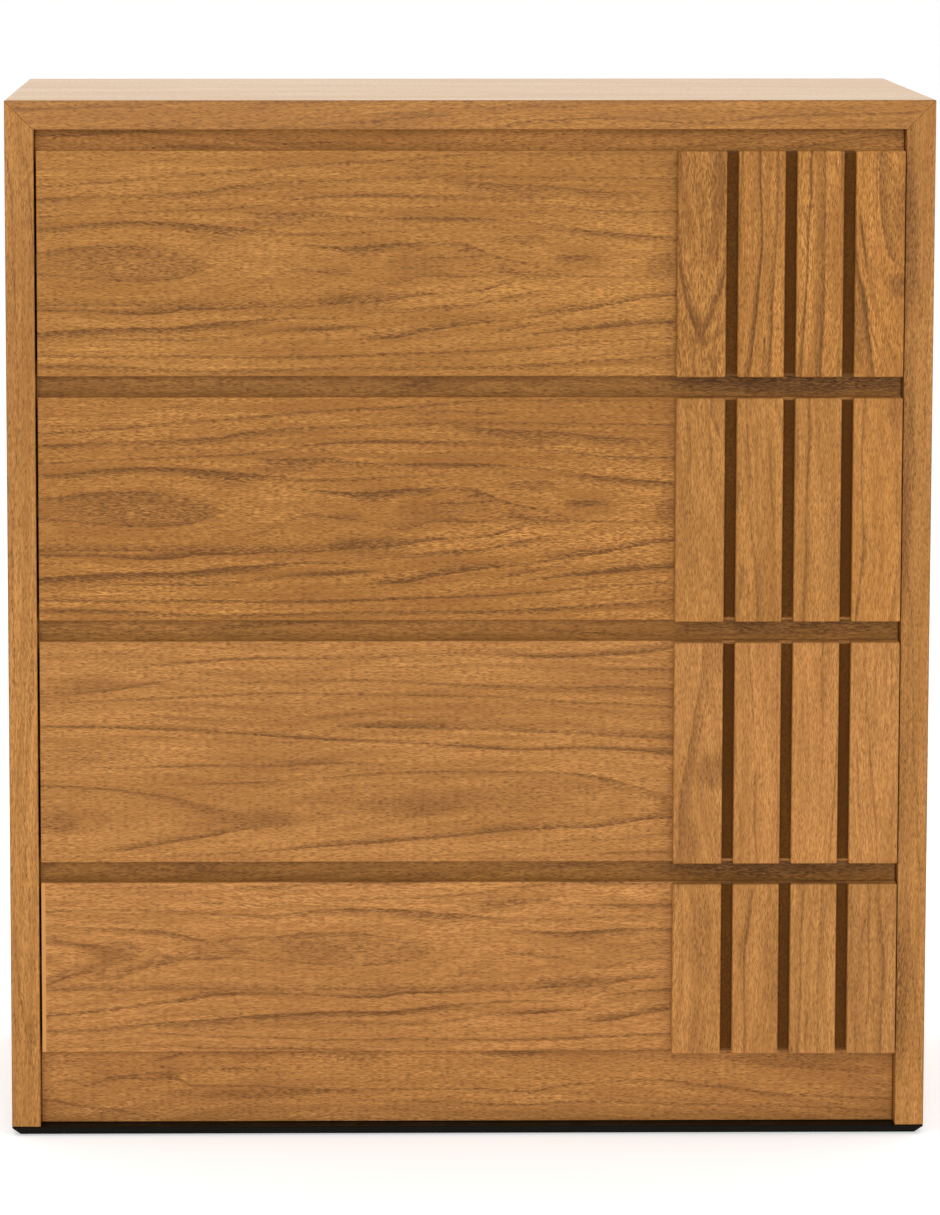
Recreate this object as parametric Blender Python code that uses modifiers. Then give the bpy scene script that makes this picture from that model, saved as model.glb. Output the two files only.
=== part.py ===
"""A chest of four drawers in wood veneer.

A mitred frame stands on a thin black base. Set-back rails show between the drawers, and each flat drawer front
carries four upright slats at its right-hand end. The drawers are grooved boxes on wooden runners.

Sizes are in metres and +Z is up. The front faces -Y, left and right are as seen from the front, and the origin is on
the floor at the middle of the footprint.
"""

import collections
import math

import bmesh
import bpy
from mathutils import Vector

# Frame
CHEST_WIDTH = 0.800
CHEST_HEIGHT = 0.908
FRAME_DEPTH = 0.400
PANEL_THICKNESS = 0.025
PANEL_ARRIS = 0.0004

# Seam left between two pieces that touch
SEAM = 0.0003

# Black base board, with its lower edges cut back at 45 degrees
BASE_THICKNESS = 0.008
BASE_CHAMFER = 0.007

# Back panel, let into rebates in the frame
BACK_THICKNESS = 0.005
BACK_INSET = 0.003
REBATE_WIDTH = 0.010

# Set-back rails and the bottom panel behind the lowest one
RAIL_THICKNESS = 0.016
RAIL_OVERLAP = 0.012
BOTTOM_PANEL_THICKNESS = 0.015
BOARD_ARRIS = 0.0005

# Drawer fronts: equal ones, and a lower one at the bottom
EQUAL_FRONTS = 3
LOWEST_FRONT_HEIGHT = 0.151
PLINTH_REVEAL = 0.067
FINGER_GAP = 0.018
FRONT_THICKNESS = 0.016
FRONT_SIDE_GAP = 0.002
FRONT_REST_GAP = 0.001
FRONT_ARRIS = 0.0008
FINGER_BEVEL = 0.010

# Slats at the right-hand end of a front, from left to right, on a thin dark sheet
END_SLAT_WIDTH = 0.0425
MIDDLE_SLAT_WIDTH = 0.0403
SLAT_WIDTHS = (END_SLAT_WIDTH, MIDDLE_SLAT_WIDTH, MIDDLE_SLAT_WIDTH, END_SLAT_WIDTH)
SLAT_SPACING = 0.010
SLAT_THICKNESS = 0.0094
SLAT_ARRIS = 0.0012
BACKING_THICKNESS = 0.002
BACKING_END_INSET = 0.003
BACKING_SIDE_INSET = 0.001

# Drawer boxes
BOX_SIDE_CLEARANCE = 0.003
BOX_CLEARANCE_BELOW = 0.008
BOX_CLEARANCE_ABOVE = 0.013
BOX_CLEARANCE_BEHIND = 0.025
BOX_SIDE_THICKNESS = 0.015
BOX_BACK_THICKNESS = 0.012
BOX_BOTTOM_THICKNESS = 0.004
BOX_BOTTOM_RISE = 0.008
BOX_BOTTOM_TONGUE = 0.005

# Runners on the side panels
RUNNER_THICKNESS = 0.010
RUNNER_HEIGHT = 0.016
RUNNER_SETBACK = 0.004
RUNNER_CLEARANCE = 0.0008

# How far a cutter runs past the face that it cuts
OVERRUN = 0.002

# Planes that the pieces share
SLAT_PROUD = BACKING_THICKNESS + SLAT_THICKNESS + 2 * SEAM
FRAME_BACK = (FRAME_DEPTH + SLAT_PROUD) / 2
FRAME_FRONT = FRAME_BACK - FRAME_DEPTH
FRONT_BACK = FRAME_FRONT + FRONT_THICKNESS
RAIL_FRONT = FRONT_BACK + FRONT_REST_GAP
RAIL_BACK = RAIL_FRONT + RAIL_THICKNESS
BACK_FACE = FRAME_BACK - BACK_INSET - BACK_THICKNESS
BOX_BACK = BACK_FACE - BOX_CLEARANCE_BEHIND
FRAME_HALF = CHEST_WIDTH / 2
INNER_HALF = FRAME_HALF - PANEL_THICKNESS
FRONT_HALF = INNER_HALF - FRONT_SIDE_GAP
BOX_HALF = INNER_HALF - BOX_SIDE_CLEARANCE
BOX_INNER_HALF = BOX_HALF - BOX_SIDE_THICKNESS
PANEL_UNDERSIDE = CHEST_HEIGHT - PANEL_THICKNESS
BASE_TOP = BASE_THICKNESS + SEAM
PLINTH_TOP = BASE_THICKNESS + PLINTH_REVEAL + RAIL_OVERLAP
REBATE_DEPTH = BACK_INSET + BACK_THICKNESS + SEAM
FRONTS_ROOM = PANEL_UNDERSIDE - BASE_THICKNESS - PLINTH_REVEAL - (EQUAL_FRONTS + 1) * FINGER_GAP
FRONT_HEIGHT = (FRONTS_ROOM - LOWEST_FRONT_HEIGHT) / EQUAL_FRONTS

# Colour (linear), roughness and metallic value of each kind of surface
FINISHES = {
    "veneer": ((0.50, 0.25, 0.085, 1.0), 0.48, 0.0),
    "rail_veneer": ((0.42, 0.20, 0.065, 1.0), 0.50, 0.0),
    "slat_veneer": ((0.46, 0.23, 0.080, 1.0), 0.48, 0.0),
    "dark_sheet": ((0.075, 0.035, 0.014, 1.0), 0.60, 0.0),
    "black_lacquer": ((0.006, 0.005, 0.004, 1.0), 0.45, 0.0),
    "box_wood": ((0.60, 0.42, 0.22, 1.0), 0.55, 0.0),
    "thin_board": ((0.52, 0.36, 0.20, 1.0), 0.65, 0.0),
    "runner_wood": ((0.55, 0.36, 0.17, 1.0), 0.40, 0.0),
}

# A drawer's name, the heights of its front's edges and of its box's edges, and the underside of its runners
Drawer = collections.namedtuple("Drawer", "name bottom top box_bottom box_top runner_bottom")


def clear_scene():
    for obj in list(bpy.data.objects):
        bpy.data.objects.remove(obj, do_unlink=True)


def new_collection(name):
    collection = bpy.data.collections.new(name)
    bpy.context.scene.collection.children.link(collection)
    return collection


def drawers_from_the_top():
    heights = [FRONT_HEIGHT] * EQUAL_FRONTS + [LOWEST_FRONT_HEIGHT]
    above = PANEL_UNDERSIDE
    for number, height in enumerate(heights, start=1):
        top = above - FINGER_GAP
        bottom = top - height
        box_bottom = bottom + RAIL_OVERLAP + BOX_CLEARANCE_BELOW
        box_top = top - RAIL_OVERLAP - BOX_CLEARANCE_ABOVE
        runner_bottom = (box_bottom + box_top - RUNNER_HEIGHT) / 2
        yield Drawer(f"drawer_{number}", bottom, top, box_bottom, box_top, runner_bottom)
        above = bottom


def give_finish(obj, kind):
    colour, roughness, metallic = FINISHES[kind]
    material = bpy.data.materials.new(f"{obj.name}_{kind}")
    material.use_nodes = True
    shader = material.node_tree.nodes["Principled BSDF"]
    shader.inputs["Base Color"].default_value = colour
    shader.inputs["Roughness"].default_value = roughness
    shader.inputs["Metallic"].default_value = metallic
    obj.data.materials.append(material)


def box_mesh(low, high):
    """A block of the size of the space between two corners, centred on its own origin."""
    mesh = bmesh.new()
    bmesh.ops.create_cube(mesh, size=1.0)
    bmesh.ops.scale(mesh, vec=Vector(high) - Vector(low), verts=mesh.verts)
    return mesh


def plane_off(mesh, centre, point, normal):
    """Cuts away what lies beyond a plane, where normal points, and closes the cut. point is in the chest's frame."""
    everything = mesh.verts[:] + mesh.edges[:] + mesh.faces[:]
    cut = bmesh.ops.bisect_plane(
        mesh, geom=everything, plane_co=Vector(point) - centre, plane_no=normal, clear_outer=True
    )
    rim = [item for item in cut["geom_cut"] if isinstance(item, bmesh.types.BMEdge)]
    bmesh.ops.edgeloop_fill(mesh, edges=rim)
    bmesh.ops.recalc_face_normals(mesh, faces=mesh.faces)


def add_object(name, mesh, centre, collection, parent=None):
    data = bpy.data.meshes.new(name)
    mesh.to_mesh(data)
    mesh.free()
    obj = bpy.data.objects.new(name, data)
    obj.parent = parent
    obj.location = centre - parent.location if parent else centre
    collection.objects.link(obj)
    return obj


def ease_edges(obj, arris, segments=1):
    bevel = obj.modifiers.new("eased_edges", "BEVEL")
    bevel.width = arris
    bevel.segments = segments
    bevel.limit_method = "ANGLE"


def board(name, low, high, kind, parent=None, arris=BOARD_ARRIS, segments=1, planes=()):
    """A board between two corners, with eased edges. planes are (point, normal) pairs that cut its corners off."""
    centre = (Vector(low) + Vector(high)) / 2
    mesh = box_mesh(low, high)
    for point, normal in planes:
        plane_off(mesh, centre, point, normal)
    obj = add_object(name, mesh, centre, PARTS, parent)
    if arris:
        ease_edges(obj, arris, segments)
    give_finish(obj, kind)
    return obj


def cut_out(obj, low, high):
    """Cuts the space between two corners out of a board."""
    centre = (Vector(low) + Vector(high)) / 2
    number = sum(modifier.type == "BOOLEAN" for modifier in obj.modifiers) + 1
    cutter = add_object(f"{obj.name}_cutter_{number}", box_mesh(low, high), centre, CUTTERS, obj.parent)
    cutter.hide_render = True
    cutter.display_type = "WIRE"
    cut = obj.modifiers.new(f"cut_{number}", "BOOLEAN")
    cut.operation = "DIFFERENCE"
    cut.solver = "EXACT"
    cut.object = cutter


def mirrored(low, high):
    """The two corners of a space's mirror image in the plane x = 0."""
    return (-high[0], low[1], low[2]), (-low[0], high[1], high[2])


def on_side(side, low, high):
    """The corners as given for the left-hand side, or mirrored for the right-hand one."""
    return (low, high) if side == "left" else mirrored(low, high)


def base_board():
    low = (-FRAME_HALF, FRAME_FRONT, 0)
    high = (FRAME_HALF, FRAME_BACK, BASE_THICKNESS)
    mesh = box_mesh(low, high)
    lower_edges = [edge for edge in mesh.edges if all(vert.co.z < 0 for vert in edge.verts)]
    bmesh.ops.bevel(mesh, geom=lower_edges, offset=BASE_CHAMFER, segments=1, affect="EDGES")
    obj = add_object("base_board", mesh, (Vector(low) + Vector(high)) / 2, PARTS)
    give_finish(obj, "black_lacquer")


def top_panel():
    half_seam = SEAM / math.sqrt(2)
    left_mitre = ((half_seam - FRAME_HALF, 0, CHEST_HEIGHT), (-1, 0, -1))
    right_mitre = ((FRAME_HALF - half_seam, 0, CHEST_HEIGHT), (1, 0, -1))
    obj = board(
        "top_panel",
        (-FRAME_HALF, FRAME_FRONT, PANEL_UNDERSIDE),
        (FRAME_HALF, FRAME_BACK, CHEST_HEIGHT),
        "veneer",
        arris=PANEL_ARRIS,
        planes=[left_mitre, right_mitre],
    )
    cut_out(
        obj,
        (-FRAME_HALF - OVERRUN, FRAME_BACK - REBATE_DEPTH, PANEL_UNDERSIDE - OVERRUN),
        (FRAME_HALF + OVERRUN, FRAME_BACK + OVERRUN, PANEL_UNDERSIDE + REBATE_WIDTH),
    )


def side_panel(side):
    half_seam = SEAM / math.sqrt(2)
    inward = 1 if side == "left" else -1
    mitre = ((-inward * FRAME_HALF, 0, CHEST_HEIGHT - half_seam), (inward, 0, 1))
    low, high = on_side(
        side, (-FRAME_HALF, FRAME_FRONT, BASE_TOP), (-INNER_HALF, FRAME_BACK, CHEST_HEIGHT)
    )
    obj = board(f"{side}_side_panel", low, high, "veneer", arris=PANEL_ARRIS, planes=[mitre])
    rebate = on_side(
        side,
        (-INNER_HALF - REBATE_WIDTH, FRAME_BACK - REBATE_DEPTH, BASE_TOP - OVERRUN),
        (-INNER_HALF + OVERRUN, FRAME_BACK + OVERRUN, CHEST_HEIGHT + OVERRUN),
    )
    cut_out(obj, *rebate)


def back_panel():
    half = INNER_HALF + REBATE_WIDTH - SEAM
    top = PANEL_UNDERSIDE + REBATE_WIDTH - SEAM
    low = (-half, BACK_FACE, BASE_TOP)
    high = (half, BACK_FACE + BACK_THICKNESS, top)
    board("back_panel", low, high, "thin_board", arris=0)


def rail(name, bottom, top):
    """A rail right across the frame, set back behind the drawer fronts."""
    half = INNER_HALF - SEAM
    board(name, (-half, RAIL_FRONT, bottom), (half, RAIL_BACK, top), "rail_veneer")


def rails(drawers):
    rail("plinth_rail", BASE_TOP, PLINTH_TOP)
    rail("top_rail", drawers[0].top - RAIL_OVERLAP, PANEL_UNDERSIDE - SEAM)
    for number, (upper, lower) in enumerate(zip(drawers, drawers[1:]), start=1):
        rail(f"divider_rail_{number}", lower.top - RAIL_OVERLAP, upper.bottom + RAIL_OVERLAP)


def bottom_panel():
    half = INNER_HALF - SEAM
    low = (-half, RAIL_BACK + SEAM, PLINTH_TOP - BOTTOM_PANEL_THICKNESS)
    high = (half, BACK_FACE - SEAM, PLINTH_TOP)
    board("bottom_panel", low, high, "box_wood")


def runners(drawer):
    """The two fixed runners of one drawer, each seated on its side panel."""
    number = drawer.name.split("_")[1]
    low = (SEAM - INNER_HALF, RAIL_FRONT + RUNNER_SETBACK, drawer.runner_bottom)
    high = (low[0] + RUNNER_THICKNESS, BOX_BACK, drawer.runner_bottom + RUNNER_HEIGHT)
    for side in ("left", "right"):
        board(f"runner_{number}_{side}", *on_side(side, low, high), "runner_wood")


def drawer_front(drawer, parent, floor_slot):
    """The flat front, with a finger bevel along its upper back edge and a slot for the drawer's bottom."""
    finger_bevel = ((0, FRONT_BACK, drawer.top - FINGER_BEVEL), (0, 1, 1))
    obj = board(
        f"{drawer.name}_front",
        (-FRONT_HALF, FRAME_FRONT, drawer.bottom),
        (FRONT_HALF, FRONT_BACK, drawer.top),
        "veneer",
        parent,
        arris=FRONT_ARRIS,
        segments=2,
        planes=[finger_bevel],
    )
    slot_half = BOX_INNER_HALF + BOX_BOTTOM_TONGUE
    slot_low, slot_high = floor_slot
    cut_out(
        obj,
        (-slot_half, FRONT_BACK - BOX_BOTTOM_TONGUE, slot_low),
        (slot_half, FRONT_BACK + OVERRUN, slot_high),
    )


def slats(drawer, parent):
    """Four upright slats, flush with the front's right-hand end, on a dark sheet a little smaller than they are."""
    slat_back = FRAME_FRONT - BACKING_THICKNESS - 2 * SEAM
    slat_face = slat_back - SLAT_THICKNESS
    block_left = FRONT_HALF - sum(SLAT_WIDTHS) - (len(SLAT_WIDTHS) - 1) * SLAT_SPACING
    sheet_back = FRAME_FRONT - SEAM
    board(
        f"{drawer.name}_slat_backing",
        (block_left + BACKING_SIDE_INSET, sheet_back - BACKING_THICKNESS, drawer.bottom + BACKING_END_INSET),
        (FRONT_HALF - BACKING_SIDE_INSET, sheet_back, drawer.top - BACKING_END_INSET),
        "dark_sheet",
        parent,
        arris=0,
    )
    left = block_left
    for number, width in enumerate(SLAT_WIDTHS, start=1):
        board(
            f"{drawer.name}_slat_{number}",
            (left, slat_face, drawer.bottom),
            (left + width, slat_back, drawer.top),
            "slat_veneer",
            parent,
            arris=SLAT_ARRIS,
            segments=2,
        )
        left += width + SLAT_SPACING


def drawer_side(drawer, side, parent, floor_slot):
    """A side of the box, with the runner's groove in its outer face and the bottom's slot in its inner one."""
    low, high = on_side(
        side,
        (-BOX_HALF, FRONT_BACK + SEAM, drawer.box_bottom),
        (-BOX_INNER_HALF, BOX_BACK, drawer.box_top),
    )
    obj = board(f"{drawer.name}_{side}_side", low, high, "box_wood", parent)
    groove_floor = SEAM - INNER_HALF + RUNNER_THICKNESS + RUNNER_CLEARANCE
    groove = on_side(
        side,
        (-BOX_HALF - OVERRUN, FRONT_BACK - OVERRUN, drawer.runner_bottom - RUNNER_CLEARANCE),
        (groove_floor, BOX_BACK + OVERRUN, drawer.runner_bottom + RUNNER_HEIGHT + SEAM),
    )
    cut_out(obj, *groove)
    slot_low, slot_high = floor_slot
    slot = on_side(
        side,
        (-BOX_INNER_HALF - BOX_BOTTOM_TONGUE, FRONT_BACK - OVERRUN, slot_low),
        (-BOX_INNER_HALF + OVERRUN, BOX_BACK + OVERRUN, slot_high),
    )
    cut_out(obj, *slot)


def drawer_box(drawer, parent):
    floor = drawer.box_bottom + BOX_BOTTOM_RISE
    floor_top = floor + BOX_BOTTOM_THICKNESS
    floor_slot = (floor - SEAM, floor_top + SEAM)
    drawer_front(drawer, parent, floor_slot)
    for side in ("left", "right"):
        drawer_side(drawer, side, parent, floor_slot)
    floor_half = BOX_INNER_HALF + BOX_BOTTOM_TONGUE - SEAM
    board(
        f"{drawer.name}_bottom",
        (-floor_half, FRONT_BACK - BOX_BOTTOM_TONGUE + SEAM, floor),
        (floor_half, BOX_BACK, floor_top),
        "thin_board",
        parent,
        arris=0,
    )
    back_half = BOX_INNER_HALF - SEAM
    board(
        f"{drawer.name}_back",
        (-back_half, BOX_BACK - BOX_BACK_THICKNESS, floor_top + SEAM),
        (back_half, BOX_BACK, drawer.box_top),
        "box_wood",
        parent,
    )


def drawer_assembly(drawer):
    """A drawer under its own empty, which lies on the line that the drawer slides along."""
    empty = bpy.data.objects.new(drawer.name, None)
    empty.location = (0, FRAME_FRONT, (drawer.bottom + drawer.top) / 2)
    PARTS.objects.link(empty)
    drawer_box(drawer, empty)
    slats(drawer, empty)


def build_chest():
    drawers = list(drawers_from_the_top())
    base_board()
    top_panel()
    for side in ("left", "right"):
        side_panel(side)
    back_panel()
    bottom_panel()
    rails(drawers)
    for drawer in drawers:
        runners(drawer)
        drawer_assembly(drawer)


clear_scene()
PARTS = new_collection("chest_of_drawers")
CUTTERS = new_collection("cutters")
build_chest()
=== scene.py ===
"""Dresses the chest of four drawers: crown-cut veneer, upright slats, black base, boxes, light and camera."""

import math
from collections import namedtuple

import bmesh
import bpy
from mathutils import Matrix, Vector


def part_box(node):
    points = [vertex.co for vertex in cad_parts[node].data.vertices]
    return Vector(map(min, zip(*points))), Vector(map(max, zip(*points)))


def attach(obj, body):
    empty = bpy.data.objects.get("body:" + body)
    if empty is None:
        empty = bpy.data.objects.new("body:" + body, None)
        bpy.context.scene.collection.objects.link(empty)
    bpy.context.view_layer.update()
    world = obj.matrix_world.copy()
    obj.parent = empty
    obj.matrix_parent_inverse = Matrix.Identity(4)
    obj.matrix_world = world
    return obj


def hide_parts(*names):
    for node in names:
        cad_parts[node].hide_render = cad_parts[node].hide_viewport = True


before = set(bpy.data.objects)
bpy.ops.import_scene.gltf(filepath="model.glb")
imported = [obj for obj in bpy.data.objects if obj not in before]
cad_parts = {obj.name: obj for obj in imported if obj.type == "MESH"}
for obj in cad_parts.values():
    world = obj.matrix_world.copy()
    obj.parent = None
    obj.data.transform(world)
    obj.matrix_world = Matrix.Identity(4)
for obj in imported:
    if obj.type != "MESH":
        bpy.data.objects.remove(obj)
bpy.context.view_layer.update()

# Camera and light

CAMERA_PLACE = (-0.1377, -4.5, 1.1268)
CAMERA_TURN = math.radians(0.578)
CAMERA_TILT = math.radians(6.613)
CAMERA_LENS = 148.72
CAMERA_SHIFT = (0.09, -0.15)
VIEW_END = 200.0
FLOOR_WIDTH = 90.0
SKY_STRENGTH = 0.60
GLOSS_STRENGTH = 1.05
FLOOR_GLOW = 0.33
PANEL_WIDTH = 7.0
PANEL_HEIGHT = 4.6
PANEL_POWER = 110.0
SUN_PLACE = (-2.0, -3.0, 4.0)
SUN_STRENGTH = 1.45
SUN_SPREAD = math.radians(30)
SUN_TILT = (math.radians(74), 0.0, math.radians(-3))
WHITE = (1.0, 1.0, 1.0, 1.0)

# Boards and their small edges, in metres

DRAWERS = (1, 2, 3, 4)
SLATS = (1, 2, 3, 4)
SIDES = ((-1, "left"), (1, "right"))
FRONT_END = -0.373
FRONT_FACE = -0.194
FRONT_TOPS = {1: 0.865, 2: 0.652, 3: 0.439, 4: 0.226}
BOARD_ARRIS = 0.0007
OUTER_ARRIS = 0.0010
SLAT_ROUNDING = 0.0006
BOX_ARRIS = 0.0012
BASE_ARRIS = 0.0004
VENEER_SKIN = 0.0007
BAND_SKIN = 0.0009
REAR_SKIN = 0.0004
LIPPING_WIDTH = 0.0035
GLUE_THICKNESS = 0.00029
GLUE_SHORT = 0.0003
GLUE_SUNK = 0.00002
GLUE_LENGTH = 1.6  # in thicknesses of the board, before it is trimmed
ON_FACE = 0.0002
NEAR = 1e-5
STRAIGHT = 1e-6
FACING = 0.9
FLAT_ANGLE = math.radians(1)
SHARP_ANGLE = math.radians(25)
BOARD_SMOOTH = math.radians(40)

# Fastenings, in metres

CAM_RADIUS = 0.0075
CAM_DEPTH = 0.0016
CAM_PROUD = 0.0004
CAM_RIM = 0.0003
CAM_RING = 0.0010
CAM_SLOT = 0.0014
CAM_SLOT_DEPTH = 0.0009
CAM_SETBACK = 0.034
CAM_INSETS = {1: 0.030, 2: 0.030, 3: 0.030, 4: 0.024}
CAM_FACETS = 20
CAM_SMOOTH = math.radians(30)
PIN_RADIUS = 0.0030
PIN_DEPTH = 0.0018
PIN_SUNK = 0.0004
PIN_DOME = 0.0011
PIN_INSET = 0.0050
PIN_FACETS = 12
PIN_SMOOTH = math.radians(50)
PINS_ACROSS = 6
PINS_UPWARD = 6

# Colours of the woods and finishes, as light reflected in red, green and blue

HONEY_PALE = (0.535, 0.243, 0.058)
HONEY_DEEP = (0.228, 0.088, 0.016)
RING_BROWN = (0.128, 0.048, 0.009)
# painted sheen: these factors pale the top's colour to stand for the pale grazing sheen of its finish
TOP_PAINTED_SHEEN = (1.20, 1.52, 2.28)
PORE_BROWN = (0.070, 0.024, 0.006)
LIPPING_PALE = (0.455, 0.218, 0.068)
GLUE_AMBER = (0.420, 0.182, 0.045)
CORE_TONES = ((0.52, 0.36, 0.19), (0.30, 0.18, 0.08))
BEECH_PALE = (0.640, 0.430, 0.215)
BEECH_DEEP = (0.440, 0.262, 0.118)
BEECH_FLECK = (0.360, 0.200, 0.090)
HARDBOARD_PALE = (0.300, 0.165, 0.075)
HARDBOARD_DEEP = (0.190, 0.095, 0.040)
GROOVE_BROWN = (0.140, 0.055, 0.009)
GROOVE_DEEP = (0.092, 0.032, 0.004)
# near-black of the base: partly a black finish, partly painted shadow standing for the dark strip under the
# chest
BASE_AND_SHADOW_BLACK = (0.0042, 0.0030, 0.0014)
LACQUER_DUST = (0.010, 0.0075, 0.0045)
ZINC_PALE = (0.62, 0.61, 0.58)
ZINC_DULL = (0.40, 0.39, 0.37)
FLOOR_WHITE = (0.90, 0.90, 0.90)
FLOOR_SHADE = (0.87, 0.87, 0.865)

# How strongly each mark darkens the veneer, as a share of the way to the darker brown

PATCH_SHARE = 0.45
STREAK_SHARE = 0.58
FIBRE_SHARE = 0.30
SHORT_SHARES = (-0.12, 0.82)  # where the short fibres are lightest, and where they are darkest
FRAYED_LINES = (0.46, 1.50)  # the same two for a drawn line that crosses them
WHOLE_LINES = (0.68, 1.28)
SLAT_FRAY = (0.85, 1.12)
PORE_FILL = 0.30
ARRIS_SHARE = 0.22
FAINT_RINGS = 0.30
# painted sheen: how far the top's colour is washed towards the pale honey before it is paled
TOP_SHEEN_WASH = 0.60

# Other measures of the finishes

ARRIS_BAND = 0.0011
BAND_CALM = 0.25
DRAWN_WANDER = 0.45
VENEER_SPECULAR = 0.11
TOP_SPECULAR = 0.17
LACQUER_SPECULAR = 0.03
LOOSE_DRIFT = (0.006, 0.0035)  # how far the lines wander slowly, and how far finely, in metres
LEAF_DRIFT = (0.004, 0.0035)
RAIL_DRIFT = (0.004, 0.0045)
SLAT_DRIFT = (0.003, 0.0025)
BEECH_DRIFT = (0.004, 0.0012)
TOP_RINGS = (0.3, 80.0, 0.0)  # number of the first ring, rings in a metre, and how much closer they get
SIDE_RINGS = (0.1, 85.0, 0.0)
RAIL_RINGS = (0.4, 110.0, 0.0)
SLAT_RINGS = (0.2, 110.0, 0.0)
BEECH_RINGS = (0.0, 260.0, 0.0)

# Figure of the veneer: where the heart of the log runs, and how deep the leaf was cut, in metres

FLAME_HEART = ((-0.182, 0.1083), (-0.109, 0.1040), (-0.036, 0.1005), (0.180, 0.1014),
               (0.310, 0.1005), (0.397, 0.0971), (0.518, 0.0919), (0.700, 0.0900))
FLAME_DEPTH = ((-0.182, 0.0130), (-0.109, 0.0251), (-0.062, 0.0286), (-0.036, 0.0269), (0.000, 0.0234),
               (0.050, 0.0191), (0.094, 0.0208), (0.152, 0.0251), (0.179, 0.0256), (0.251, 0.0269),
               (0.324, 0.0329), (0.397, 0.0381), (0.436, 0.0399), (0.518, 0.0451), (0.700, 0.0530))
FLAME_RINGS = (0.85, 31.2, 573.0)
BROAD_HEART = ((0.000, 0.1577), (0.120, 0.1568), (0.200, 0.1590), (0.251, 0.1508), (0.320, 0.1438),
               (0.445, 0.1395), (0.518, 0.1430), (0.700, 0.1430))
BROAD_DEPTH = ((0.000, 0.0090), (0.016, 0.0065), (0.040, 0.0110), (0.106, 0.0225), (0.154, 0.0291),
               (0.210, 0.0320), (0.251, 0.0300), (0.350, 0.0347), (0.445, 0.0373), (0.518, 0.0423),
               (0.700, 0.0470))
BROAD_RINGS = (0.0, 62.0, 40.0)

# Dark lines drawn on a leaf, in millimetres

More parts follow.
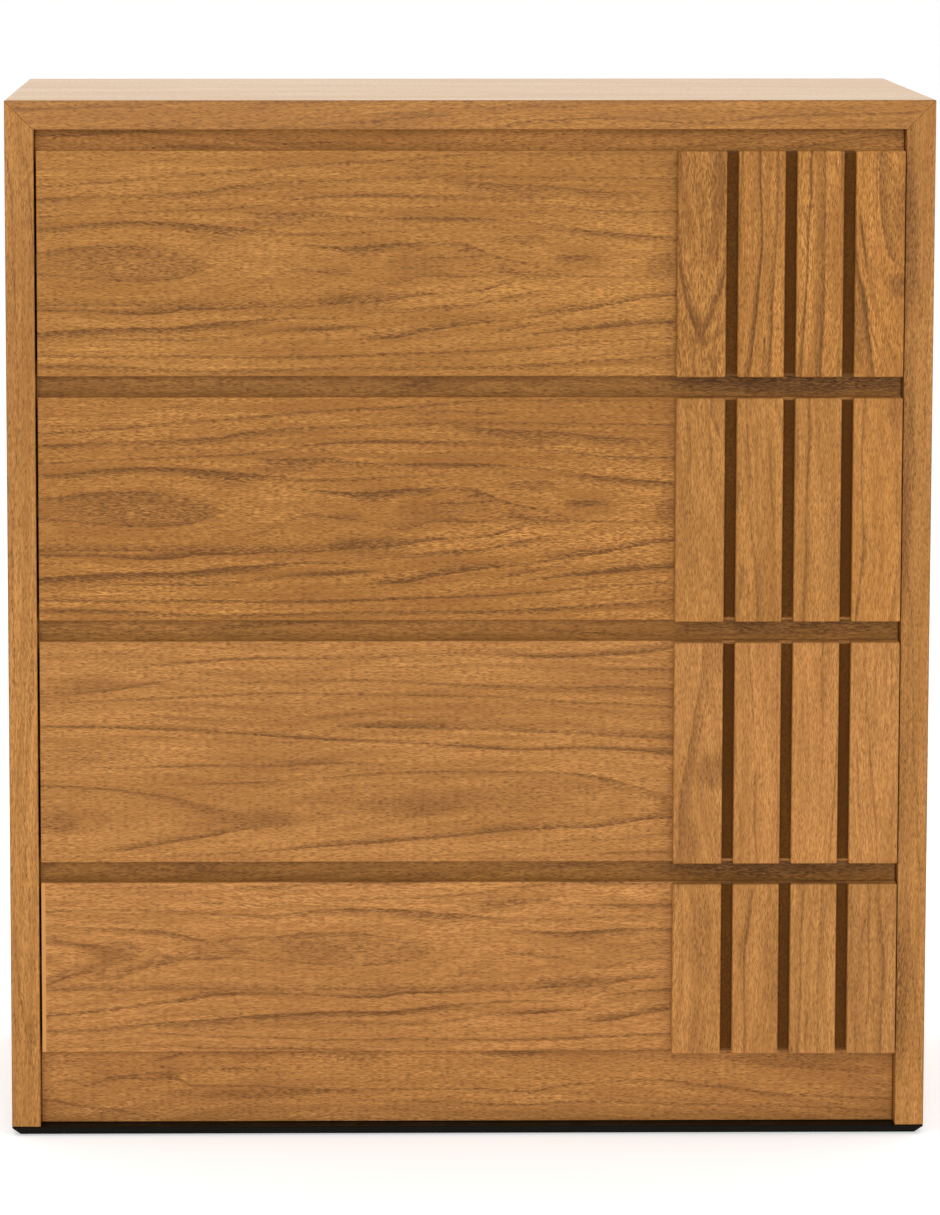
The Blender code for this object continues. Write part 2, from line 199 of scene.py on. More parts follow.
MILLIMETRE = 0.001
LEAF_LEFT = -0.190
LEAF_RIGHT = 0.560
LEAF_HEIGHT = 0.200
WIDEST_FADE = 0.016
NARROWEST_FADE = 0.0008
FLAME_LINES = (
    # the side that fades softly (1 below the line, -1 above it), then points of distance along the grain,
    # depth below the leaf's top edge, darkness, and width of the soft side
    (1, ((-10, 31.5, .45, 3), (47, 27.7, .45, 3), (107, 22.5, .4, 2), (166, 18.2, .45, 3), (226, 12.1, .5, 4),
         (286, 9, .4, 3), (326, 6.9, .5, 3), (366, 3.5, .3, 3), (420, 2.5, .3, 3), (555, 3, .1, 2))),
    (1, ((40, 14.7, 0, 1), (60, 14, .22, 1), (90, 13, .22, 1), (115, 8, .2, 1), (135, 5, 0, 1))),
    (1, ((300, 15, 0, 1), (320, 13.9, .35, 1), (346, 12.1, .35, 1), (386, 13.9, .45, 2), (400, 14, 0, 2))),
    (1, ((-190, 43.5, .22, 1), (-90, 42.4, .25, 1), (-50, 41.5, .1, 1), (7, 41.6, .65, 6), (47, 39, .35, 6),
         (107, 37.3, .5, 8), (146, 34.7, .6, 7), (186, 28.5, .5, 9), (246, 26, .4, 4), (286, 24.3, .4, 4),
         (346, 22.5, .4, 4), (406, 22.5, .3, 2), (465, 23.4, .4, 1), (555, 24.3, .45, 2))),
    (1, ((345, 25, 0, 4), (366, 26.9, .5, 8), (406, 29.5, .6, 14), (445, 31.2, .55, 10), (485, 35.5, .65, 8),
         (505, 36.4, .4, 10), (540, 38, .15, 6), (555, 38, 0, 4))),
    (1, ((-60, 56, .1, 2), (-44, 55.4, .3, 3), (0, 57, .35, 2), (47, 54.6, .25, 1), (107, 52, .4, 2),
         (186, 47.7, .4, 2), (226, 41.6, .45, 3), (286, 38.1, .6, 3), (326, 39, .6, 3), (366, 39.9, .3, 3),
         (425, 44.2, .25, 3), (465, 49.4, .35, 3), (505, 52, .45, 5), (555, 52, .5, 5))),
    (1, ((-190, 63.2, .55, 2), (-130, 61.5, .4, 3), (-84, 62.4, .4, 4), (-25, 65.8, .45, 3), (7, 67.6, .5, 5),
         (47, 63.3, .6, 8), (87, 61.5, .75, 5), (127, 62.4, .8, 9), (155, 65.5, .75, 14), (186, 67.6, .6, 6),
         (226, 71.5, .35, 4), (266, 71.1, .4, 3), (306, 68.5, .3, 3), (330, 68, .25, 2), (350, 68, 0, 2))),
    (1, ((180, 53, 0, 6), (206, 54.6, .65, 12), (226, 53.7, .7, 10), (246, 52.9, .4, 10), (266, 57.2, .4, 5),
         (306, 58.1, .5, 6), (346, 58.1, .7, 5), (386, 58.9, .5, 5), (425, 62.4, .25, 3), (465, 68, .5, 9),
         (505, 71.9, .6, 8), (555, 75.4, .5, 8))),
    (1, ((215, 79, 0, 4), (236, 81.5, .5, 4), (266, 83.2, .8, 8), (286, 82.3, .85, 12), (306, 80.6, .75, 6),
         (326, 79.7, .7, 9), (346, 79, .4, 6), (366, 80.5, .55, 12), (378, 84, .6, 8), (390, 89.3, .65, 4),
         (406, 94.3, .5, 3), (425, 97.5, .45, 3), (441, 102, .35, 2), (446, 104, 0, 2))),
    (1, ((318, 93, 0, 2), (335, 92.5, .4, 3), (360, 91.5, .5, 4), (386, 90, .4, 4), (400, 90, 0, 3))),
    (-1, ((290, 114, 0, 6), (306, 115.3, .35, 8), (330, 109.5, .35, 8), (350, 108.3, .45, 9),
          (366, 109.2, .45, 3), (385, 108, .3, 4), (406, 105, .5, 10), (425, 108.5, .45, 4),
          (445, 109.2, .35, 5), (470, 109.2, .3, 2), (520, 110, .25, 2), (545, 110, .1, 2))),
    (-1, ((240, 134, .45, 8), (266, 132, .8, 14), (286, 131.5, .7, 14), (306, 129.1, .7, 8),
          (326, 125.6, .7, 5), (346, 123.9, .4, 4), (366, 123.1, .35, 3), (386, 120.5, .65, 3),
          (398, 116.5, .5, 4), (410, 112.5, .4, 4), (425, 108.5, .45, 3), (441, 103.5, .4, 3),
          (446, 102, 0, 2))),
    (1, ((285, 139.5, 0, 4), (306, 138.6, .3, 4), (346, 134.3, .6, 5), (366, 133.4, .5, 6),
         (386, 130, .45, 5), (406, 126.5, .55, 6), (422, 123, .4, 4), (440, 121, 0, 3))),
    (-1, ((276, 163, 0, 4), (295, 162.5, .6, 9), (310, 161.5, .75, 10), (326, 157.7, .8, 9),
          (346, 154.2, .75, 9), (386, 149, .6, 7), (406, 147.3, .35, 5), (445, 141, .5, 8),
          (485, 135.2, .75, 7), (525, 127.4, .6, 5), (555, 125.5, .6, 5))),
    (-1, ((380, 160, 0, 2), (400, 156, .5, 4), (425, 151, .3, 4), (450, 145, .1, 4), (460, 143, 0, 2))),
    (-1, ((405, 162, 0, 3), (425, 159.4, .4, 4), (445, 156.8, .6, 5), (465, 155.1, .9, 4),
          (485, 153.4, .9, 6), (505, 151.6, .8, 8), (555, 148.3, .75, 6))),
    (-1, ((-190, 158, .8, 4), (-144, 153.5, .65, 4), (-104, 148.3, .6, 4), (-63, 143, .8, 5),
          (-44, 139.5, .85, 6), (-5, 137.8, .65, 3), (47, 138.6, .5, 4), (87, 141.2, .85, 5),
          (107, 140.4, .9, 7), (127, 137.5, .9, 6), (166, 136.9, .65, 4), (206, 135.2, .5, 7),
          (226, 135.5, .5, 9), (246, 133, .5, 6), (262, 133, .2, 6), (280, 136, 0, 4))),
    (1, ((-190, 169.8, .45, 5), (-144, 168.1, .5, 6), (-104, 164.6, .6, 6), (-63, 162, .75, 9),
         (-5, 156.8, .85, 9), (27, 155.1, .9, 9), (67, 153.4, .85, 8), (107, 153.4, .95, 7),
         (146, 149.5, .9, 8), (186, 146.4, .6, 7), (226, 143.8, .5, 2), (250, 144.5, .35, 2),
         (265, 145, 0, 2))),
    (-1, ((-90, 172, 0, 2), (-25, 168.9, .3, 2), (27, 165.5, .25, 3), (67, 163.8, .3, 4), (127, 164.6, .5, 5),
          (166, 162, .35, 3), (206, 156.8, .4, 5), (246, 155.1, .85, 5), (266, 153.4, .6, 4),
          (290, 152.5, 0, 3))),
    (1, ((-110, 171, 0, 2), (-84, 172.4, .5, 1), (-44, 175, .4, 1), (7, 175.9, .45, 2), (67, 177.6, .45, 2),
         (127, 176.8, .55, 3), (186, 178, .5, 2), (246, 177.6, .6, 3), (306, 175, .6, 3), (366, 173.3, .6, 2),
         (425, 169.8, .45, 2), (485, 164.6, .35, 2), (555, 160.8, .4, 4))),
    (1, ((-150, 184.5, .25, 1), (-84, 182.8, .4, 1), (-44, 185.4, .4, 2), (27, 185.4, .6, 4),
         (67, 186.3, .55, 5), (107, 188, .5, 5), (146, 189.8, .45, 6), (206, 188.9, .5, 3),
         (286, 187.2, .4, 4), (366, 187, .6, 4), (425, 184.6, .6, 6), (485, 181.1, .5, 4),
         (555, 176.3, .5, 4))),
    (-1, ((155, 124, 0, 2), (175, 120.5, .2, 2), (190, 117.5, .3, 5), (206, 110, .2, 6), (226, 103.1, .5, 5),
          (246, 104.9, .55, 4), (266, 107.5, .35, 8), (285, 109, 0, 5))),
    (1, ((-190, 75.4, .3, 3), (-143, 78, .35, 4), (-84, 81.4, .65, 6), (-44, 89, .45, 4), (-5, 86.6, .4, 8),
         (7, 87, .5, 7), (35, 83.5, .55, 12), (75, 82.5, .5, 8), (107, 86, .35, 6), (135, 91, .2, 6),
         (152, 98, 0, 4))),
    (-1, ((-150, 127, .1, 8), (-124, 123.5, .45, 14), (-104, 115.2, .5, 14), (-84, 111, .65, 12),
          (-63, 106.5, .65, 8), (-44, 106.5, .7, 7), (-25, 105.7, .5, 4), (7, 107.5, .35, 4),
          (47, 110.9, .45, 6), (80, 112.5, .45, 8), (107, 111.8, .55, 8), (130, 108, .4, 6),
          (152, 99, 0, 4))),
    (1, ((-190, 86, .4, 8), (-164, 91, .6, 6), (-144, 93.6, .65, 8), (-125, 96, .5, 8), (-105, 100, 0, 6))),
    (-1, ((-190, 131.5, .45, 16), (-164, 121.3, .6, 14), (-144, 117, .5, 10), (-120, 108, .5, 10),
          (-105, 101, 0, 6))),
)
BROAD_LINES = (
    (1, ((0, 12.5, .15, 3), (40, 11, .2, 4), (69, 9, .25, 5), (95, 4, .2, 4), (108, 1, 0, 3))),
    (-1, ((35, 30, 0, 6), (50, 28.6, .2, 8), (87, 22.5, .3, 6), (107, 20.8, .5, 3), (186, 15.6, .65, 3),
          (226, 15.4, .6, 3), (266, 15.6, .4, 4), (306, 13.9, .55, 5), (366, 10.4, .4, 3),
          (400, 12.5, .45, 8), (445, 14.7, .8, 6), (485, 13, .8, 7), (525, 10.4, .75, 8),
          (555, 5.5, .45, 8))),
    (-1, ((0, 49, .35, 8), (27, 46.8, .45, 12), (47, 45.1, .6, 9), (67, 42.5, .6, 7), (87, 38.6, .65, 3),
          (103, 37.3, .4, 3), (118, 37.5, 0, 2))),
    (1, ((0, 55, .25, 1), (47, 52, .35, 2), (87, 50.3, .5, 2), (146, 47.7, .5, 2), (206, 45.2, .5, 2),
         (246, 45.9, .45, 3), (306, 46.8, .55, 2), (366, 48.5, .5, 2), (406, 49.4, .4, 2),
         (445, 52.9, .35, 4), (485, 54.6, .5, 2), (555, 57.5, .5, 4))),
    (1, ((150, 36, 0, 3), (175, 35.5, .3, 4), (226, 34.7, .3, 4), (266, 33.8, .55, 3), (306, 34.7, .4, 3),
         (346, 37.3, .5, 3), (386, 39, .6, 5), (425, 39.9, .4, 7), (465, 40.7, .55, 8), (505, 39.9, .6, 6),
         (555, 42, .55, 9))),
    (-1, ((0, 75.4, .5, 3), (47, 75.4, .7, 3), (87, 77.1, .7, 4), (127, 78.9, .65, 4), (166, 81.3, .6, 3),
          (206, 84.1, .75, 4), (246, 86.7, .85, 4), (286, 88.4, .6, 3), (326, 90.1, .55, 3),
          (366, 92.7, .75, 4), (386, 94.5, .8, 5), (425, 96.2, .65, 3), (465, 94.5, .7, 3),
          (505, 96.2, .8, 4), (555, 100.5, .8, 9))),
    (-1, ((250, 75, 0, 5), (270, 75.4, .5, 6), (306, 76.3, .85, 8), (346, 77.1, .75, 9), (386, 78, .4, 10),
          (425, 79.7, .6, 9), (465, 81.5, .5, 5), (505, 84.1, .5, 9), (555, 86.5, .65, 8))),
    (-1, ((0, 110, .3, 2), (67, 111.8, .35, 3), (107, 110.9, .5, 3), (146, 110.1, .6, 3), (186, 110.9, .5, 4),
          (226, 109.2, .6, 7), (246, 108.3, .65, 6), (270, 108.3, .4, 4), (300, 108.5, .15, 2),
          (330, 110, 0, 2))),
    (1, ((80, 123.5, 0, 1), (120, 125.4, .35, 1), (166, 124.8, .5, 2), (206, 123.1, .4, 2),
         (246, 120.5, .45, 2), (286, 117, .6, 3), (326, 115.3, .6, 2), (366, 114.6, .35, 3),
         (406, 115.3, .5, 5), (445, 115.5, .45, 4), (485, 119.6, .75, 6), (505, 124, .6, 12),
         (525, 130.5, .5, 12), (555, 139, .4, 12))),
    (1, ((0, 126.2, .55, 2), (47, 129.1, .6, 2), (87, 133.4, .6, 3), (107, 136.2, .55, 4),
         (127, 140.5, .5, 8), (146, 146, .5, 10), (166, 149.9, .5, 11), (190, 152, .4, 8), (215, 154, .3, 6),
         (235, 156, 0, 4))),
    (-1, ((40, 188, 0, 6), (67, 184.6, .4, 7), (87, 182, .65, 7), (107, 178.5, .65, 7), (127, 175, .8, 5),
          (146, 172.4, .8, 7), (166, 168.1, .65, 8), (186, 164.5, .55, 8), (205, 161, .4, 6),
          (222, 158, 0, 4))),
    (-1, ((95, 191, .15, 2), (146, 188.3, .4, 2), (206, 184.6, .5, 3), (246, 181.3, .75, 6),
          (286, 178.5, .75, 8), (326, 175, .7, 5), (366, 171.6, .65, 6), (406, 167.4, .8, 9),
          (445, 165.5, .65, 9), (485, 164.3, .7, 8), (505, 161.2, .7, 10), (525, 157.9, .8, 7),
          (555, 156, .6, 12))),
    (1, ((430, 180, 0, 2), (465, 175.2, .45, 2), (505, 174.5, .3, 2), (525, 171.6, .4, 3),
         (555, 169, .4, 4))),
    (1, ((340, 191.5, 0, 1), (386, 191.5, .2, 1), (445, 190.6, .2, 2), (485, 188, .35, 2),
         (505, 186.6, .5, 3), (555, 186, .5, 4))),
    (1, ((300, 23, 0, 1), (346, 21.7, .3, 3), (386, 20.8, .25, 3), (425, 22.5, .25, 3), (465, 23.5, .1, 2),
         (505, 24.3, .45, 2), (555, 24.3, .35, 3))),
    (1, ((90, 65.5, 0, 2), (107, 65.9, .25, 3), (186, 67.6, .2, 6), (246, 65.9, .3, 4), (286, 63.3, .4, 4),
         (306, 65, .2, 5), (340, 66, .25, 2), (380, 67, 0, 2))),
)

# Soft dark patches of a leaf, in millimetres

FLAME_PATCHES = (
    # middle along the grain, depth below the top edge, half length, half height, then darkness
    (72, 97, 80, 17, .38), (122, 98, 34, 12, .40), (-125, 100, 26, 13, .50), (-32, 98, 36, 9, .38),
    (205, 58, 36, 9, .28), (435, 36, 70, 9, .22), (415, 77, 30, 6, .34), (465, 92.7, 24, 4, .50),
    (540, 100, 20, 15, .34), (350, 100, 60, 15, .18), (418, 107, 26, 6, .42), (285, 133, 44, 9, .28),
)
BROAD_PATCHES = (
    (17, 160, 21, 12, .48), (190, 157, 46, 10, .50), (322, 145, 66, 13, .38), (400, 140, 80, 16, .24),
    (440, 130, 66, 10, .24), (45, 100, 60, 9, .26), (275, 139, 60, 9, .26), (45, 38, 34, 9, .18),
    (548, 150, 16, 15, .38),
)

# The slats' lines and patches, drawn as the leaves' are

SLAT_LINES = {
    # distance up from the slat's foot, then in from its right-hand edge
    (1, 1): (
        (-1, ((195, 40, .25, 3), (150, 42.3, .2, 3), (120, 42, .35, 4), (100, 40.5, .5, 5),
              (80, 37.5, .65, 6), (60, 33, .7, 8), (48, 29, .75, 10), (38, 25, .65, 10), (30, 21, .4, 8),
              (24, 18, 0, 6))),
        (1, ((110, 0, .1, 6), (90, 1.5, .45, 8), (80, 3, .65, 8), (70, 6, .6, 7), (60, 9.8, .55, 7),
             (50, 13.4, .6, 8), (40, 17.9, .65, 10), (33, 21.5, .3, 8), (28, 23, 0, 6))),
        (1, ((48, 42.3, .3, 3), (25, 40.5, .35, 3), (10, 38.5, .35, 3), (0, 37, .3, 2))),
        (1, ((38, 28, 0, 1), (30, 27.5, .25, 1), (20, 27, .5, 2), (0, 27, .5, 2))),
        (1, ((58, 5, 0, 2), (50, 6, .2, 3), (35, 8, .35, 4), (20, 9.5, .4, 4), (0, 8, .4, 4)))),
    (1, 2): (
        (1, ((195, 22, .75, 2), (160, 21.3, .75, 2), (140, 20.3, .65, 2), (115, 19.9, .8, 2),
             (100, 20.6, .8, 3), (85, 22, .7, 5), (60, 23.7, .75, 6), (40, 25.8, .75, 6), (20, 28, .7, 6),
             (0, 30.6, .65, 6))),
        (1, ((195, 6.1, .6, 4), (160, 6.3, .55, 3), (130, 7.1, .5, 3), (105, 8.6, .5, 4), (75, 10.1, .65, 5),
             (45, 10.7, .65, 6), (20, 11.6, .65, 6), (0, 12.8, .6, 7))),
        (1, ((195, 36.8, .5, 2), (170, 37, .45, 2), (150, 38, .4, 2), (120, 38.5, .3, 2), (80, 39, .1, 2))),
        (1, ((38, 17, 0, 1), (30, 17, .65, 1), (15, 17.5, .45, 2), (0, 17, .35, 2)))),
    (1, 3): (
        (1, ((195, 27.5, .8, 2), (180, 28.4, .8, 2), (158, 27.8, .75, 2), (140, 29.4, .6, 3),
             (122, 30.4, .75, 2), (100, 30.6, .7, 2), (75, 31.6, .6, 2), (50, 33, .75, 4), (25, 34.6, .65, 4),
             (0, 36, .6, 4))),
        (1, ((195, 16.5, .5, 6), (160, 16, .5, 6), (140, 16, .55, 8), (110, 16, .6, 8), (80, 16, .65, 7),
             (55, 16.5, .75, 8), (35, 17.5, .75, 8), (15, 18.5, .7, 9), (0, 19, .65, 9))),
        (1, ((195, 1.8, .5, 2), (170, 1.5, .4, 2), (140, .5, .2, 2), (90, .5, .2, 2), (60, .8, .2, 1),
             (30, 2.5, .3, 2), (0, 2.8, .35, 2)))),
    (1, 4): (
        (-1, ((195, 21.5, .5, 14), (170, 22.5, .55, 15), (150, 21.5, .55, 16), (135, 20, .55, 15),
              (120, 17.5, .55, 14), (110, 15, .55, 12), (103, 12, .5, 9), (98, 7, .4, 6), (94, 1, .3, 3),
              (90, 0, 0, 2))),
        (1, ((145, 38.5, 0, 1), (135, 37.5, .45, 2), (122, 36, .75, 2), (108, 34, .7, 1), (96, 32.8, .5, 1),
             (90, 32.5, 0, 1))),
        (1, ((125, 42, .2, 2), (105, 41, .45, 3), (90, 39, .65, 5), (78, 36, .75, 6), (62, 33, .8, 7),
             (45, 31, .75, 9), (30, 28.8, .7, 9), (15, 26.9, .65, 8), (0, 25.7, .6, 8))),
        (1, ((85, 37, 0, 1), (75, 34, .55, 1), (62, 31.5, .6, 1), (55, 30.4, .3, 1), (48, 29.8, 0, 1))),
        (1, ((195, 24.5, .35, 1), (170, 24.5, .3, 1), (150, 24, .2, 1), (140, 24, 0, 1)))),
    (2, 1): (
        (-1, ((195, 13, .65, 5), (182, 12.5, .65, 5), (172, 9, .7, 5), (163, 6, .5, 5), (155, 2, .35, 4),
              (148, 0, .2, 3), (140, 0, 0, 3))),
        (1, ((172, 12.5, 0, 3), (160, 12.5, .35, 3), (145, 11.5, .5, 3), (135, 11.5, .35, 3),
             (125, 11.5, 0, 3))),
        (1, ((178, 30.5, 0, 3), (165, 30.5, .4, 4), (150, 29.5, .4, 4), (138, 30, .4, 3), (125, 31.5, .2, 3),
             (115, 32, 0, 3))),
        (1, ((195, 29.3, .5, 1), (188, 29, .4, 1), (182, 29, 0, 1)))),
    (2, 2): (
        (-1, ((195, 33, .25, 2), (180, 32.2, .45, 2), (150, 30.6, .55, 2), (125, 29, .5, 2), (105, 29, .1, 2),
              (90, 27.6, .4, 3), (72, 26.2, .55, 2), (55, 24.7, .55, 5), (40, 22.5, .55, 7),
              (20, 21.5, .55, 7), (0, 21.5, .55, 7))),
        (1, ((170, 11.4, 0, 1), (150, 11, .4, 1), (125, 10.4, .65, 1), (105, 9, .65, 1), (88, 7.4, .4, 1),
             (70, 6.8, .25, 1), (40, 6.4, .1, 1))),
        (1, ((125, 38.6, 0, 1), (117, 38.4, .6, 1), (104, 39, .5, 1), (96, 39.5, 0, 1))),
        (1, ((55, 33, 0, 2), (42, 33.4, .6, 3), (33, 34.5, .65, 3), (24, 35.5, .5, 2), (15, 36.5, .15, 2),
             (8, 37, 0, 2))),
        (1, ((52, 31, 0, 1), (38, 30.5, .35, 1), (26, 28.5, .55, 1), (20, 28, 0, 1)))),
    (2, 3): (
        (-1, ((195, 29.2, .65, 3), (165, 28.6, .75, 4), (145, 29.2, .75, 3), (125, 29.8, .75, 2),
              (100, 30.4, .5, 2), (80, 30.7, .5, 2), (58, 29.9, .65, 4), (40, 30.6, .55, 3),
              (18, 31.2, .6, 2), (0, 31.7, .6, 2))),
        (1, ((185, 38, .2, 2), (165, 37.3, .45, 3), (150, 37, .55, 3), (136, 37.6, .6, 2), (122, 38, .3, 1),
             (112, 38, 0, 1)))),
    (2, 4): (
        (-1, ((195, 33, .5, 4), (180, 34, .5, 4), (160, 35, .65, 2), (140, 35.4, .65, 1), (120, 35.2, .65, 1),
              (100, 34.2, .5, 2), (85, 33.6, .5, 5), (68, 33, .7, 6), (52, 34, .65, 5), (35, 35.8, .7, 3),
              (18, 37.4, .7, 3), (0, 39.4, .65, 3))),
        (-1, ((65, 0, .1, 3), (45, 3, .3, 5), (25, 6, .35, 6), (0, 9, .3, 8)))),
    (3, 1): (
        (-1, ((195, 17, .4, 6), (170, 19, .5, 6), (150, 21, .55, 7), (135, 24.5, .55, 8), (120, 26, .6, 9),
              (105, 28.5, .65, 10), (90, 31, .65, 12), (75, 34, .65, 14), (60, 36, .6, 14), (40, 38, .65, 12),
              (25, 37, .7, 10), (10, 38.5, .6, 10), (0, 39.5, .5, 9))),
        (1, ((195, 13.5, .35, 1), (165, 14, .4, 1), (150, 13, .5, 1), (135, 16, .45, 1), (115, 20, .6, 1),
             (95, 22.5, .6, 1), (80, 27, .5, 1), (60, 31, .45, 1), (45, 34, .35, 1), (30, 35.5, 0, 1)))),
    (3, 2): (
        (1, ((195, 27.8, .35, 1), (170, 26.6, .55, 2), (150, 24.6, .55, 1), (120, 23, .5, 1),
             (100, 22.1, .25, 1), (80, 21.6, .55, 1), (55, 21.5, .65, 2), (35, 21.3, .6, 2),
             (15, 20.2, .5, 1), (0, 18.8, .35, 1))),
        (1, ((195, 2, .2, 2), (150, 2.8, .35, 1), (100, 3, .3, 1), (60, 1.8, .4, 1), (0, 1.5, .35, 1))),
        (1, ((110, 39, 0, 1), (92, 38, .5, 1), (75, 37.5, .2, 1), (55, 35.6, .35, 2), (35, 33.8, .4, 2),
             (15, 32.3, .35, 2), (0, 32, .2, 2)))),
    (3, 3): (
        (-1, ((195, 15.5, .45, 8), (170, 15.5, .5, 8), (150, 15, .55, 7), (135, 14.4, .5, 4),
              (115, 14, .45, 2), (90, 14, .4, 2), (75, 14.5, 0, 2))),
        (1, ((130, 1, .2, 1), (95, 1.7, .55, 1), (70, 2.4, .65, 2), (45, 3.7, .6, 2), (25, 4.8, .55, 2),
             (0, 6.6, .45, 2)))),
    (3, 4): (
        (1, ((195, 30, .15, 2), (170, 29, .35, 2), (150, 28.4, .4, 2), (128, 26.8, .5, 2), (105, 25, .4, 2),
             (88, 23.7, .55, 2), (70, 21.6, .45, 1), (50, 20, .5, 1), (30, 18.9, .45, 1), (0, 17, .4, 1))),
        (1, ((115, 36, 0, 1), (90, 35.4, .4, 1), (60, 34.4, .4, 2), (35, 33.2, .4, 2), (10, 31.8, .3, 2),
             (0, 31, .2, 2))),
        (1, ((190, 6.7, 0, 1), (180, 6.8, .6, 1), (160, 6.6, .45, 1), (148, 6.5, .45, 1), (140, 6.5, 0, 1))),
        (1, ((70, 4, 0, 1), (60, 4.3, .5, 1), (45, 4, .4, 1), (36, 5, .55, 1), (30, 5.5, 0, 1)))),
    (4, 1): (
        (1, ((151, 37, .5, 1), (141, 37.5, .4, 1), (134, 38, 0, 1))),
        (1, ((130, 40.5, .3, 2), (100, 41, .3, 2), (60, 42, 0, 2)))),
    (4, 2): (
        (1, ((149, 21.5, 0, 2), (145, 22.6, .65, 3), (135, 24.2, .7, 5), (120, 25.3, .7, 6),
             (105, 27.4, .75, 7), (90, 29.4, .7, 7), (75, 29.5, .55, 5), (60, 29.5, .5, 2),
             (40, 28.9, .55, 2), (20, 28.2, .5, 2), (0, 28.8, .5, 2))),
        (1, ((151, 8, .2, 4), (120, 9, .35, 4), (95, 9.6, .35, 5), (70, 9, .2, 4), (40, 9, .1, 4)))),
    (4, 3): (
        (-1, ((151, 30, .55, 3), (130, 30.3, .6, 3), (105, 31.5, .65, 3), (85, 31.6, .6, 2),
              (60, 30.8, .55, 2), (40, 31.7, .55, 2), (20, 32.2, .6, 3), (0, 33.5, .55, 3))),
        (-1, ((151, 13, .5, 4), (125, 14, .55, 5), (100, 15, .5, 5), (75, 15.5, .5, 4), (55, 16.4, .45, 2),
              (30, 15.7, .5, 2), (0, 15.5, .5, 2))),
        (1, ((42, 24, 0, 1), (30, 24.6, .55, 1), (15, 25.3, .55, 2), (5, 25, .3, 2), (0, 25, .2, 2)))),
    (4, 4): (
        (1, ((149, 24.8, .7, 1), (138, 23.5, .6, 1), (120, 24.3, .65, 2), (100, 24, .6, 2), (80, 23, .55, 2),
             (60, 22.6, .45, 2), (45, 23.7, .55, 2), (33, 24.8, .65, 1), (24, 25, 0, 1))),
        (1, ((151, 15, .3, 3), (130, 14.3, .5, 5), (115, 13, .65, 7), (100, 11.5, .7, 7), (85, 10.7, .75, 7),
             (72, 10, .8, 8), (55, 10.9, .7, 7), (35, 11.8, .7, 6), (0, 12.4, .65, 6))),
        (1, ((124, 26.5, 0, 1), (115, 27.5, .6, 3), (106, 29.5, .7, 2), (100, 31, 0, 2))),
        (1, ((145, 39.5, .3, 1), (125, 39, .4, 2), (105, 39.3, .35, 2), (90, 38, .35, 3), (70, 36, .4, 3),
             (45, 34, .35, 3), (20, 34.5, .4, 2), (0, 33.5, .3, 2))),
        (1, ((52, 17, 0, 2), (42, 18, .55, 3), (34, 19, .45, 2), (27, 20, 0, 2)))),
}
SLAT_PATCHES = {
    (1, 1): ((165, 8, 45, 10, .34), (120, 13, 32, 12, .24)),
    (1, 4): ((80, 5, 14, 11, .42), (40, 38, 40, 8, .34), (150, 5, 40, 14, .34)),
    (2, 1): ((75, 26, 45, 9, .20), (110, 33, 30, 6, .20)),
    (2, 3): ((60, 6, 60, 11, .24),),
    (2, 4): ((185, 6, 30, 8, .36), (110, 3, 40, 6, .28)),
    (3, 1): ((83, 8, 21, 17, .55), (185, 6, 28, 9, .30), (15, 28, 30, 11, .32)),
    (4, 1): ((110, 18, 48, 11, .36), (75, 16, 32, 7, .36), (18, 20, 35, 13, .26)),
    (4, 2): ((75, 4, 70, 8, .28),),
    (4, 3): ((4, 38, 3, 1.5, .70),),
    (4, 4): ((80, 34, 70, 12, .20),),
}
